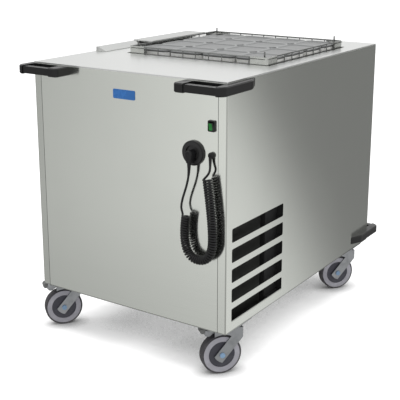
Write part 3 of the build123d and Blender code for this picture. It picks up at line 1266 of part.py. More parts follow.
for place, (x, y) in CASTORS.items():
    braked = place.startswith("front")
    head = Plane(origin=(x, y, 0), x_dir=TRAIL_DIR, z_dir=(0, 0, 1))
    side_view = Plane(origin=(x, y, 0), x_dir=TRAIL_DIR, z_dir=-AXLE_DIR)
    hub = Vector(x, y, WHEEL_RADIUS) + TRAIL_DIR * TRAIL
    hub_view = Plane(origin=hub, x_dir=AXLE_DIR, z_dir=TRAIL_DIR)
    axle_axis = Axis(hub, AXLE_DIR)

    with BuildPart() as fork:
        for side in (-1, 1):
            with BuildSketch(side_view.offset(side * LEG_INSIDE)):
                leg_outline(braked)
            extrude(amount=side * LEG_SHEET)
        with BuildSketch(head.offset(CROWN_BOTTOM)):
            with Locations(((CROWN_FRONT + CROWN_REAR) / 2, 0)):
                Rectangle(CROWN_REAR - CROWN_FRONT, 2 * LEG_OUTSIDE)
        extrude(amount=CROWN_SHEET)
        with BuildSketch(head.offset(CROWN_TOP)):
            Circle(RACE_RADIUS - 4)
        extrude(amount=BOSS_HEIGHT)
        with BuildSketch(head.offset(CROWN_BOTTOM)):
            Circle(KINGPIN_RADIUS + BORE_GAP)
        extrude(amount=CROWN_SHEET + BOSS_HEIGHT, mode=Mode.SUBTRACT)
    fork.part.label = f"fork_{place}"
    export_step(fork.part, f"parts/fork_{place}.step")

    with BuildPart() as axle:
        with BuildSketch(side_view.offset(-LEG_OUTSIDE - CAP_HEIGHT)):
            with Locations((TRAIL, WHEEL_RADIUS)):
                Circle(AXLE_RADIUS)
        extrude(amount=2 * (LEG_OUTSIDE + CAP_HEIGHT))
        for side in (-1, 1):
            with BuildSketch(side_view.offset(side * LEG_OUTSIDE)):
                with Locations((TRAIL, WHEEL_RADIUS)):
                    Circle(CAP_RADIUS)
            extrude(amount=side * CAP_HEIGHT)
    axle.part.label = f"axle_{place}"
    export_step(axle.part, f"parts/axle_{place}.step")

    with BuildPart() as wheel:
        with BuildSketch(hub_view):
            ring_section(
                (
                    (-HUB_HALF, BORE_RADIUS),
                    (HUB_HALF, BORE_RADIUS),
                    (HUB_HALF, HUB_RADIUS_WHEEL),
                    (DISC_HALF, HUB_RADIUS_WHEEL),
                    (DISC_HALF, HUB_DISC_RADIUS),
                    (RIM_HALF, HUB_DISC_RADIUS),
                    (RIM_HALF, RIM_RADIUS),
                    (-RIM_HALF, RIM_RADIUS),
                    (-RIM_HALF, HUB_DISC_RADIUS),
                    (-DISC_HALF, HUB_DISC_RADIUS),
                    (-DISC_HALF, HUB_RADIUS_WHEEL),
                    (-HUB_HALF, HUB_RADIUS_WHEEL),
                )
            )
        revolve(axis=axle_axis)
    wheel.part.label = f"wheel_{place}"
    export_step(wheel.part, f"parts/wheel_{place}.step")

    with BuildPart() as tyre:
        with BuildSketch(hub_view):
            ring_section(
                (
                    (-RIM_HALF, RIM_RADIUS),
                    (RIM_HALF, RIM_RADIUS),
                    (WHEEL_HALF, RIM_RADIUS + 2),
                    (WHEEL_HALF - 4, WHEEL_RADIUS),
                    (4 - WHEEL_HALF, WHEEL_RADIUS),
                    (-WHEEL_HALF, RIM_RADIUS + 2),
                )
            )
        revolve(axis=axle_axis)
    tyre.part.label = f"tyre_{place}"
    export_step(tyre.part, f"parts/tyre_{place}.step")

    if braked:
        with BuildPart() as pedal:
            with BuildSketch(side_view.offset(-PEDAL_HALF)):
                tip_x = PEDAL_HINGE + PEDAL_LENGTH
                Polygon(
                    (PEDAL_HINGE, PEDAL_Z - PEDAL_SHEET / 2),
                    (tip_x, PEDAL_Z + PEDAL_LIFT - PEDAL_SHEET / 2),
                    (tip_x, PEDAL_Z + PEDAL_LIFT + PEDAL_SHEET / 2),
                    (PEDAL_HINGE, PEDAL_Z + PEDAL_SHEET / 2),
                    align=None,
                )
                with Locations((tip_x, PEDAL_Z + PEDAL_LIFT)):
                    Circle(PEDAL_TIP)
                Polygon(
                    (PEDAL_HINGE + 35, PEDAL_Z + 3),
                    (PEDAL_HINGE + 45, SHOE_BOTTOM + 1),
                    (PEDAL_HINGE + 53, SHOE_BOTTOM),
                    (PEDAL_HINGE + 60, PEDAL_Z + 6),
                    align=None,
                )
            extrude(amount=2 * PEDAL_HALF)
            for half, radius in ((LEG_INSIDE - RUN_GAP, BARREL_RADIUS), (LEG_OUTSIDE, PEDAL_PIN)):
                with BuildSketch(side_view.offset(-half)):
                    with Locations((PEDAL_HINGE, PEDAL_Z)):
                        Circle(radius)
                extrude(amount=2 * half)
        pedal.part.label = f"brake_pedal_{place}"
        export_step(pedal.part, f"parts/brake_pedal_{place}.step")
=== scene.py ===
"""Refrigerated basket dispenser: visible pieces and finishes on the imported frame.

Each operator makes or finishes one group of like pieces, and main() calls them in order. Lengths are
metres in the frame's own axes: +Z up, the front panel towards -Y, the floor at Z = 0.
"""
import json
import math

import bmesh
import bpy
from bpy.props import FloatProperty, FloatVectorProperty, IntProperty, PointerProperty
from bpy.types import Operator, Panel, PropertyGroup
from mathutils import Matrix, Vector


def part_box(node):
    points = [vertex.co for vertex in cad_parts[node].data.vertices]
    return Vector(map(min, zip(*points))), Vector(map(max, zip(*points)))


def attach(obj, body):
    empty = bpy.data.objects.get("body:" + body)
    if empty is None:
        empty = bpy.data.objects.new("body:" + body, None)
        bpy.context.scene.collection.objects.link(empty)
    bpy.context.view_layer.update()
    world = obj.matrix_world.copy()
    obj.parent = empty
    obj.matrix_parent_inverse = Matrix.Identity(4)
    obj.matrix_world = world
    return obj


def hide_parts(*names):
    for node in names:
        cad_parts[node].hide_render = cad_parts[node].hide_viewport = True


bl_info = {
    "name": "Refrigerated Basket Dispenser",
    "version": (1, 0, 0),
    "blender": (4, 5, 0),
    "location": "View3D > Sidebar > Dispenser",
    "description": "Builds the visible pieces and finishes of a refrigerated basket dispenser",
    "category": "Add Mesh",
}

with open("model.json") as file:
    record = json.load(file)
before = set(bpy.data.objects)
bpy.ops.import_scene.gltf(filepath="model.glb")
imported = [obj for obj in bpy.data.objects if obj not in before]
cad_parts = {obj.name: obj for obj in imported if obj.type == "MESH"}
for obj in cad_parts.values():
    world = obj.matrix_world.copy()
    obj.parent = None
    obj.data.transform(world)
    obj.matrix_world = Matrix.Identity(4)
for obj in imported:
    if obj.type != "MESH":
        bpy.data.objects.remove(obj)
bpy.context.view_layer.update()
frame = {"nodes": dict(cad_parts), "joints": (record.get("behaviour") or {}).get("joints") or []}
NODES = frame["nodes"]
JOINTS = {joint["name"]: joint for joint in frame["joints"]}
RIGHT_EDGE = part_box("right_panel")[1].x
FRONT_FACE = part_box("front_panel")[0].y
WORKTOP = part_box("top_deck")[1].z
CASTORS = ("front_left", "front_right", "rear_left", "rear_right")

# Cord routes as (from the right edge, out from the front, below the worktop)
PLUG_LEAD = (
    (0.109, 0.024, 0.248),
    (0.109, 0.024, 0.280),
    (0.141, 0.022, 0.362),
    (0.130, 0.022, 0.394),
)
COIL = (
    (0.121, 0.022, 0.390),
    (0.131, 0.022, 0.452),
    (0.109, 0.022, 0.518),
    (0.041, 0.022, 0.512),
    (0.025, 0.022, 0.430),
    (0.050, 0.022, 0.272),
)
GLAND_LEAD = (
    (0.048, 0.009, 0.221),
    (0.048, 0.009, 0.230),
    (0.044, 0.017, 0.254),
    (0.057, 0.022, 0.280),
)

# Side outline of a brake lever in millimetres, along the trail from its hinge and up
PEDAL_SIDE = (
    *((-4, -4), (28, -3), (35, -5), (41, -10), (46, -12.5), (52, -13), (57, -10)),
    *((61, -4), (63, 4), (60, 9), (45, 7.5), (20, 5), (-4, 4)),
)

# How closely brushed lines lie along X, Y and Z: level lines on upright sheet, and lines from front to rear
LEVEL_BRUSH, LONG_BRUSH = (3.0, 3.0, 700.0), (700.0, 3.0, 3.0)

# Where the painted dark reflection along a bend, and the painted shade above a hem, start to fade, and where
# they end
BEND_SHADE_FADE, HEM_SHADE_FADE = (0.0022, 0.0042), (0.0024, 0.0036)


def length_property(name, description, default):
    """A length in metres."""
    return FloatProperty(name=name, description=description, default=default, unit="LENGTH", precision=4)


def colour_property(name, description, default):
    """A linear colour without alpha."""
    return FloatVectorProperty(
        name=name, description=description, default=default, size=3, min=0.0, max=1.0, subtype="COLOR"
    )


def angle_property(name, description, degrees):
    """An angle with its default in degrees."""
    return FloatProperty(name=name, description=description, default=math.radians(degrees), subtype="ANGLE")


def share_property(name, description, default):
    """A level from 0 to 1."""
    return FloatProperty(name=name, description=description, default=default, min=0.0, max=1.0)


def count_property(name, description, default, least):
    """A whole number."""
    return IntProperty(name=name, description=description, default=default, min=least)


class StageSettings(PropertyGroup):
    """Camera, floor and light of the studio"""

    camera_place: FloatVectorProperty(
        name="Camera place",
        description="Where the camera stands",
        default=(1.6281, -2.5231, 1.3044),
        subtype="TRANSLATION",
        unit="LENGTH",
    )
    camera_heading: angle_property("Camera heading", "Turn of the view from straight at the front", 33.85)
    camera_pitch: angle_property("Camera pitch", "How far the view looks down", 14.54)
    camera_shift: FloatVectorProperty(
        name="Camera shift", description="Shift of the lens across and up", default=(0.002, -0.1), size=2
    )
    lens: FloatProperty(name="Lens", description="Focal length", default=81.03, unit="CAMERA")
    floor_colour: colour_property("Floor", "Pale studio floor", (0.64, 0.64, 0.64))
    key_power: FloatProperty(
        name="Key lamp", description="Power of the large lamp overhead", default=14.0, unit="POWER"
    )
    surround: share_property("Surround", "Level of the even light from all around", 0.90)


class CasingSettings(PropertyGroup):
    """Sheet steel of the body and the blank plate on its front"""

    steel_colour: colour_property("Steel", "Stainless sheet", (0.800, 0.824, 0.770))
    worktop_colour: colour_property("Worktop", "Worn sheet on top", (0.790, 0.800, 0.785))
    inner_colour: colour_property("Inner steel", "Plain sheet inside", (0.58, 0.59, 0.58))
    roughness: share_property("Roughness", "Blur of the brushed sheet", 0.15)
    worktop_roughness: share_property("Worktop roughness", "Blur of the worn worktop", 0.30)
    plate_width: length_property("Plate width", "Blank plate on the front", 0.080)
    plate_height: length_property("Plate height", "Blank plate on the front", 0.028)
    plate_centre: FloatVectorProperty(
        name="Plate centre",
        description="Place of the blank plate across and up the front",
        default=(0.008, 0.8315),
        size=2,
        unit="LENGTH",
    )
    plate_colour: colour_property("Plate", "Blank plate on the front", (0.022, 0.150, 0.460))


class CordSettings(PropertyGroup):
    """The curly cord between the gland and the parked plug"""

    length: length_property("Length", "Length along the whole cord", 3.92)
    diameter: length_property("Diameter", "Outside of the sheath", 0.0065)
    coil_radius: length_property("Coil radius", "Middle of the sheath in the curly part", 0.0104)
    turns: FloatProperty(name="Turns", description="Turns in the curly part", default=56.5, min=1.0)
    steps: count_property("Steps", "Points for each turn", 14, 12)
    colour: colour_property("Sheath", "Black cord", (0.0045, 0.0045, 0.005))


class BasketSettings(PropertyGroup):
    """Wire basket on the platform"""

    rim_line: length_property("Rim line", "Middle of the basket to its rim wire", 0.258)
    rim_wire: length_property("Rim wire", "Diameter of the rim and floor frame", 0.005)
    lower_wire: length_property("Lower wire", "Diameter of the second wire", 0.004)
    mesh_wire: length_property("Mesh wire", "Diameter of uprights and grid", 0.0032)
    rim_raise: length_property("Rim raise", "How far the rim wire stands above the solid's", 0.005)
    lower_drop: length_property("Lower wire drop", "Rim wire down to the second wire", 0.022)
    pitch: length_property("Pitch", "Distance between uprights", 0.049)
    uprights: count_property("Uprights", "Uprights on each side", 9, 3)
    pin_inset: length_property("Pin inset", "Rim wire in to a stacking pin", 0.0175)
    colour: colour_property("Wire", "Drawn wire", (0.20, 0.205, 0.20))
    plate_leg: length_property("Corner leg", "Length of a corner plate's legs", 0.060)
    plate_height: length_property("Corner height", "Height of the corner plates", 0.028)
    plate_sheet: length_property("Corner sheet", "Thickness of the corner plates", 0.002)
    plate_colour: colour_property("Corner plate", "Stamped corner plates", (0.56, 0.57, 0.545))


class BowlSettings(PropertyGroup):
    """Covered square bowls in the basket"""

    pitch: length_property("Pitch", "Distance between bowls", 0.125)
    per_side: count_property("Bowls per side", "Bowls along each side", 4, 1)
    lid_raise: length_property("Lid raise", "How far the lids stand above the solid's", 0.006)
    lid_height: length_property("Lid height", "Height of a lid's skirt", 0.0075)
    lid_overlap: length_property("Lid overlap", "How far a lid stands out past its bowl", 0.0005)
    corner: length_property("Corner", "Rounding of a lid's corners", 0.023)
    taper: angle_property("Taper", "Lean of a bowl's walls", 4.0)
    lid_colour: colour_property("Lid", "Satin lid", (0.23, 0.235, 0.235))
    bowl_colour: colour_property("Bowl", "Glazed bowl", (0.90, 0.90, 0.87))


class MouldingSettings(PropertyGroup):
    """Black corner mouldings and front fittings"""

    colour: colour_property("Moulding", "Black satin plastic", (0.006, 0.006, 0.006))
    lens_colour: colour_property("Lens", "Green rocker", (0.004, 0.13, 0.015))


class CastorSettings(PropertyGroup):
    """Castors under the four corners"""

    guard_radius: length_property("Guard radius", "Outside of the dark disc in the wheel", 0.0408)
    guard_bore: length_property("Guard bore", "Inside of the dark disc in the wheel", 0.0145)
    pedal_width: length_property("Pedal width", "Width of a brake lever", 0.028)
    wheel_colour: colour_property("Wheel", "Grey wheel body", (0.42, 0.415, 0.46))
    guard_colour: colour_property("Guard", "Dark disc in the wheel", (0.044, 0.044, 0.060))
    tyre_colour: colour_property("Tyre", "Dark grey tread", (0.045, 0.043, 0.050))
    zinc_colour: colour_property("Zinc", "Plated fork", (0.34, 0.35, 0.36))
    cap_colour: colour_property("Axle cap", "Pale blue cap", (0.24, 0.38, 0.56))
    # Darker than the roller's own grey, partly as painted shade from the body above
    tip_colour: colour_property("Pedal tip", "Rubber roller on a pedal", (0.16, 0.163, 0.16))


def put(tree, kind, inputs=None, **settings):
    """Adds a node to a tree. An input given as a socket is linked, and any other value is set."""
    node = tree.nodes.new(kind)
    for key, value in settings.items():
        setattr(node, key, value)
    for key, value in (inputs or {}).items():
        if isinstance(value, bpy.types.NodeSocket):
            tree.links.new(value, node.inputs[key])
        else:
            node.inputs[key].default_value = value
    return node


def maths(tree, operation, *values):
    """Output of a Math node."""
    return put(tree, "ShaderNodeMath", dict(enumerate(values)), operation=operation).outputs[0]


def ramp(tree, value, low, high, to_low=0.0, to_high=1.0):
    """Output of a Map Range node, clamped and eased at both ends."""
    inputs = {"Value": value, "From Min": low, "From Max": high, "To Min": to_low, "To Max": to_high}
    return put(tree, "ShaderNodeMapRange", inputs, interpolation_type="SMOOTHSTEP").outputs[0]


def within(tree, value, least, most):
    """A value held between two levels."""
    return maths(tree, "MINIMUM", maths(tree, "MAXIMUM", value, least), most)


def blend_colours(tree, factor, first, second):
    """Output of a colour Mix node."""
    return put(tree, "ShaderNodeMix", {0: factor, 6: first, 7: second}, data_type="RGBA").outputs[2]


def shade(colour, level=1.0):
    """A colour with alpha, made lighter or darker."""
    return (*(min(1.0, part * level) for part in colour[:3]), 1.0)


def shared_group(name, inputs, output, build):
    """A shader node group with named inputs and one output, all numbers, built once."""
    if name in bpy.data.node_groups:
        return bpy.data.node_groups[name]
    tree = bpy.data.node_groups.new(name, "ShaderNodeTree")
    for label, default in inputs:
        socket = tree.interface.new_socket(label, in_out="INPUT", socket_type="NodeSocketFloat")
        socket.default_value = default
    tree.interface.new_socket(output, in_out="OUTPUT", socket_type="NodeSocketFloat")
    entry = tree.nodes.new("NodeGroupInput")
    leave = tree.nodes.new("NodeGroupOutput")
    tree.links.new(build(tree, entry.outputs), leave.inputs[output])
    return tree


def use_group(tree, group, **values):
    """Places a shared group in a material and returns its one output."""
    return put(tree, "ShaderNodeGroup", values, node_tree=group).outputs[0]


def place_on_piece(tree):
    """Object coordinates of the surface."""
    return put(tree, "ShaderNodeTexCoord").outputs["Object"]


def height_on_piece(tree):
    """Height of the surface above the floor, at rest."""
    return put(tree, "ShaderNodeSeparateXYZ", {0: place_on_piece(tree)}).outputs["Z"]


def distance_on_piece(tree, axes, point):
    """Distance of the surface from a point, along the axes that are 1."""
    flat = put(tree, "ShaderNodeVectorMath", {0: place_on_piece(tree), 1: axes}, operation="MULTIPLY")
    away = put(tree, "ShaderNodeVectorMath", {0: flat.outputs[0], 1: point}, operation="DISTANCE")
    return away.outputs["Value"]


def noise_on_piece(tree, scale, detail, roughness=0.5):
    """Value of a noise texture on the surface."""
    inputs = {"Vector": place_on_piece(tree), "Scale": scale, "Detail": detail, "Roughness": roughness}
    return put(tree, "ShaderNodeTexNoise", inputs).outputs["Fac"]


def brushed_lines():
    """Fine parallel lines left by a brushing belt, as a value from 0 to 1."""

    def build(tree, given):
        stretch = put(tree, "ShaderNodeCombineXYZ", {0: given["X"], 1: given["Y"], 2: given["Z"]})
        inputs = {0: place_on_piece(tree), 1: stretch.outputs[0]}
        lines = put(tree, "ShaderNodeVectorMath", inputs, operation="MULTIPLY").outputs[0]
        noise = {"Vector": lines, "Scale": 1.0, "Detail": 4.0, "Roughness": 0.65}
        return put(tree, "ShaderNodeTexNoise", noise).outputs["Fac"]

    return shared_group("Brushed lines", zip("XYZ", LEVEL_BRUSH), "Value", build)


def handling_marks():
    """Soft patches where hands and cloths have changed the sheen, as a mask."""

    def build(tree, given):
        return ramp(tree, noise_on_piece(tree, given["Scale"], 5.0, 0.6), 0.42, 0.72)

    return shared_group("Handling marks", (("Scale", 6.0),), "Mask", build)


def moulded_grain():
    """Fine pebbled texture of a moulded surface, as a height."""

    def build(tree, given):
        cells = {"Vector": place_on_piece(tree), "Scale": given["Scale"], "Smoothness": 0.6}
        pebbles = put(tree, "ShaderNodeTexVoronoi", cells, feature="SMOOTH_F1").outputs["Distance"]
        haze = noise_on_piece(tree, given["Scale"], 3.0)
        return maths(tree, "ADD", pebbles, maths(tree, "MULTIPLY", haze, 0.5))

    return shared_group("Moulded grain", (("Scale", 900.0),), "Height", build)


def floor_dust():
    """Pale dust that thins out with height above the floor, as a mask."""

    def build(tree, given):
        fade = {"Value": height_on_piece(tree), "From Min": given["Top"], "From Max": 0.0}
        near = put(tree, "ShaderNodeMapRange", fade).outputs[0]
        specks = noise_on_piece(tree, 45.0, 6.0, 0.7)
        return maths(tree, "MULTIPLY", near, ramp(tree, specks, 0.35, 0.75))

    return shared_group("Floor dust", (("Top", 0.10),), "Mask", build)


def new_finish(name, **sockets):
    """A material with one Principled shader whose constant sockets are set."""
    material = bpy.data.materials.new(name)
    material.use_nodes = True
    tree = material.node_tree
    shader = tree.nodes["Principled BSDF"]
    for label, value in sockets.items():
        shader.inputs[label.replace("_", " ")].default_value = value
    return material, tree, shader


def feed(tree, shader, **sources):
    """Links what changes over the surface to a shader's sockets."""
    for label, source in sources.items():
        tree.links.new(source, shader.inputs[label.replace("_", " ")])


def bumped(tree, height, strength, depth):
    """Output of a Bump node."""
    return put(tree, "ShaderNodeBump", {"Height": height, "Strength": strength, "Distance": depth}).outputs[0]


def overlay(material, mask, colour):
    """Lays another colour over a finish by a mask."""
    tree = material.node_tree
    shader = tree.nodes["Principled BSDF"]
    under = shader.inputs["Base Color"].links[0].from_socket
    feed(tree, shader, Base_Color=blend_colours(tree, mask, under, colour))


def brushed_sheet(name, colour, roughness, stretch, along=0.0):
    """Stainless sheet with fine lines across the stretch's largest part."""
    material, tree, shader = new_finish(name, Metallic=1.0, Anisotropic=along, Anisotropic_Rotation=0.25)
    lines = use_group(tree, brushed_lines(), **dict(zip("XYZ", stretch)))
    marks = use_group(tree, handling_marks(), Scale=5.0)
    tone = blend_colours(tree, lines, shade(colour, 0.96), shade(colour, 1.03))
    tone = blend_colours(tree, maths(tree, "MULTIPLY", marks, 0.15), tone, shade(colour, 0.95))
    rough = maths(tree, "MULTIPLY_ADD", lines, 0.06, roughness - 0.03)
    rough = maths(tree, "MULTIPLY_ADD", marks, 0.02, rough)
    feed(tree, shader, Base_Color=tone, Roughness=rough, Normal=bumped(tree, lines, 0.03, 0.0001))
    return material


def bright_metal(name, colour, roughness, scale):
    """Plain metal with slight patches of duller skin."""
    material, tree, shader = new_finish(name, Metallic=1.0)
    marks = use_group(tree, handling_marks(), Scale=scale)
    tone = blend_colours(tree, marks, shade(colour, 1.04), shade(colour, 0.86))
    feed(tree, shader, Base_Color=tone, Roughness=maths(tree, "MULTIPLY_ADD", marks, 0.12, roughness))
    return material


def moulded(name, colour, roughness, scale=900.0, depth=0.00006, dust=0.0, gloss=0.5):
    """Moulded plastic or rubber with a pebbled skin, and dust on what is near the floor."""
    material, tree, shader = new_finish(name, Specular_IOR_Level=gloss)
    grain = use_group(tree, moulded_grain(), Scale=scale)
    marks = use_group(tree, handling_marks(), Scale=22.0)
    tone = blend_colours(tree, marks, shade(colour, 0.94), shade(colour, 1.14))
    rough = maths(tree, "MULTIPLY_ADD", marks, 0.10, roughness)
    feed(tree, shader, Base_Color=tone, Roughness=rough, Normal=bumped(tree, grain, 0.35, depth))
    if dust:
        layer = maths(tree, "MULTIPLY", use_group(tree, floor_dust(), Top=0.12), dust)
        overlay(material, layer, shade((0.34, 0.33, 0.31)))
    return material


def paint(material, *names):
    """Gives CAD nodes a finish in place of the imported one."""
    for name in names:
        slots = NODES[name].data.materials
        slots.clear()
        slots.append(material)


def settle(piece, material, body, stands_for=()):
    """Links a new piece to the scene, ties it to its body, and hides the nodes it stands for."""
    bpy.context.scene.collection.objects.link(piece)
    piece.data.materials.append(material)
    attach(piece, body)
    if stands_for:
        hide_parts(*stands_for)
    return piece


def new_piece(name, bm, material, body, stands_for=()):
    """Makes a mesh piece from a bmesh."""
    mesh = bpy.data.meshes.new(name)
    bm.to_mesh(mesh)
    bm.free()
    mesh.shade_smooth()
    mesh.set_sharp_from_angle(angle=math.radians(35))
    return settle(bpy.data.objects.new(name, mesh), material, body, stands_for)


def middle_of(node):
    """Middle of a CAD node's box."""
    low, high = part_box(node)
    return (low + high) / 2


def all_of(bm):
    """Vertices, edges and faces of a bmesh."""
    return bm.verts[:] + bm.edges[:] + bm.faces[:]


def round_off(bm, edges, offset, segments):
    """Rounds edges."""
    bmesh.ops.bevel(
        bm, geom=edges, offset=offset, segments=segments, profile=0.5, affect="EDGES", material=-1
    )


def sink(bm, faces, steps):
    """Insets faces in steps of (distance from the edges, height along the normal)."""
    for inward, height in steps:
        bmesh.ops.inset_individual(bm, faces=faces, thickness=inward, depth=height)


def pull(bm, made, offset):
    """Moves the vertices that an extrusion or a copy has made."""
    fresh = [part for part in made["geom"] if isinstance(part, bmesh.types.BMVert)]
    bmesh.ops.translate(bm, vec=offset, verts=fresh)


def add_prism(bm, outline, offset):
    """Adds a flat outline pulled out by an offset."""
    face = bm.faces.new([bm.verts.new(point) for point in outline])
    pull(bm, bmesh.ops.extrude_face_region(bm, geom=[face]), offset)


def add_block(bm, size, centre):
    """Adds a box."""
    block = bmesh.ops.create_cube(bm, size=1.0)["verts"]
    bmesh.ops.scale(bm, vec=size, verts=block)
    bmesh.ops.translate(bm, vec=centre, verts=block)


def add_rod(bm, start, end, diameter, sides=12, place=Matrix()):
    """Adds a round bar between two points, in the axes of a place."""
    start, end = place @ Vector(start), place @ Vector(end)
    run = end - start
    bmesh.ops.create_cone(
        bm,
        cap_ends=True,
        segments=sides,
        radius1=diameter / 2,
        radius2=diameter / 2,
        depth=run.length,
        matrix=Matrix.Translation((start + end) / 2) @ facing(run),
    )


def spin(bm, angle, steps, **how):
    """Turns all that a bmesh holds about its upright axis."""
    middle, upright = (0, 0, 0), (0, 0, 1)
    bmesh.ops.spin(bm, geom=all_of(bm), cent=middle, axis=upright, angle=angle, steps=steps, **how)


def add_spun(bm, profile, place, steps):
    """Adds a profile of (radius, height) turned round its axis, with closed poles."""
    turned = bmesh.new()
    points = [turned.verts.new((radius, 0.0, height)) for radius, height in profile]
    for pair in zip(points, points[1:]):
        turned.edges.new(pair)
    spin(turned, 2 * math.pi, steps, use_merge=True)
    bmesh.ops.remove_doubles(turned, verts=turned.verts, dist=1e-6)
    bmesh.ops.transform(turned, matrix=place, verts=turned.verts)
    bmesh.ops.recalc_face_normals(turned, faces=turned.faces)
    spare = bpy.data.meshes.new("turned")
    turned.to_mesh(spare)
    turned.free()
    bm.from_mesh(spare)
    bpy.data.meshes.remove(spare)


def facing(way):
    """The turn that takes +Z to a direction."""
    return way.to_track_quat("Z", "Y").to_matrix().to_4x4()


def rounded_block(size, height, corner):
    """A square block round the origin with rounded upright edges."""
    bm = bmesh.new()
    add_block(bm, (size, size, height), (0, 0, 0))
    upright = [edge for edge in bm.edges if edge.verts[0].co.xy == edge.verts[1].co.xy]
    round_off(bm, upright, corner, 6)
    return bm


def repeat(bm, offsets):
    """Copies what a bmesh holds to each offset past the first, which is where it is."""
    geometry = all_of(bm)
    for offset in offsets[1:]:
        pull(bm, bmesh.ops.duplicate(bm, geom=geometry), offset)


def outermost(bm, way):
    """The largest of the faces that lie furthest in a direction."""

    def rank(face):
        return round(face.calc_center_median().dot(Vector(way)), 6), face.calc_area()

    return max(bm.faces, key=rank)


def from_front(route):
    """Points of a route in the frame's own axes."""
    corner = Vector((RIGHT_EDGE, FRONT_FACE, WORKTOP))
    return [corner - Vector(offset) for offset in route]


def new_curve(name, kind, points):
    """A curve of one open spline with these control points."""
    curve = bpy.data.curves.new(name, "CURVE")
    curve.dimensions = "3D"
    spline = curve.splines.new(kind)
    spline.points.add(len(points) - 1)
    for control, point in zip(spline.points, points):
        control.co = (*point, 1.0)
    return curve, spline


def smooth_curve(name, points, resolution):
    """A smooth curve drawn by these control points, from the first to the last."""
    curve, spline = new_curve(name, "NURBS", points)
    spline.order_u = 3
    spline.use_endpoint_u = True
    spline.resolution_u = resolution
    return curve


def line_of(curve):
    """Points along a curve that has no thickness."""
    carrier = bpy.data.objects.new("line", curve)
    mesh = bpy.data.meshes.new_from_object(carrier)
    points = [vertex.co.copy() for vertex in mesh.vertices]
    bpy.data.meshes.remove(mesh)
    bpy.data.objects.remove(carrier)
    return points


def spaced(line, count):
    """(point, direction) pairs at even distances along a line, both ends included."""
    runs = [after - here for here, after in zip(line, line[1:])]
    step = sum(run.length for run in runs) / count
    pairs = []
    index, passed = 0, 0.0
    for number in range(count + 1):
        goal = number * step
        while index < len(runs) - 1 and passed + runs[index].length < goal:
            passed += runs[index].length
            index += 1
        ahead = runs[index].normalized()
        pairs.append((line[index] + ahead * (goal - passed), ahead))
    return pairs


def wound(line, radius, turns, steps):
    """Control points of a helix round a flat line, on the line's left at both of its ends."""
    reach = radius / math.cos(math.pi / steps)
    forward = Vector((0, -1, 0))
    points = []
    for number, (middle, ahead) in enumerate(spaced(line, round(turns * steps))):
        angle = 2 * math.pi * number / steps
        points.append(middle + reach * (math.cos(angle) * ahead.cross(forward) + math.sin(angle) * forward))
    return points


def add_sleeve(name, line, length, wide, narrow, material):
    """A ribbed, tapered strain relief along the first stretch of a line."""
    step, unit = 0.001, 0.001
    total = sum((after - here).length for here, after in zip(line, line[1:]))
    pairs = spaced(line, round(total / step))
    points = [point for number, (point, _) in enumerate(pairs) if number * step <= length]
    curve, spline = new_curve(name, "POLY", points)
    curve.bevel_depth = unit
    curve.bevel_resolution = 4
    curve.use_fill_caps = True
    for number, control in enumerate(spline.points):
        share = number / (len(points) - 1)
        groove = 0.88 if number % 4 == 3 else 1.0
        control.radius = (wide + (narrow - wide) * share) / unit * groove
    return settle(bpy.data.objects.new(name, curve), material, "body")


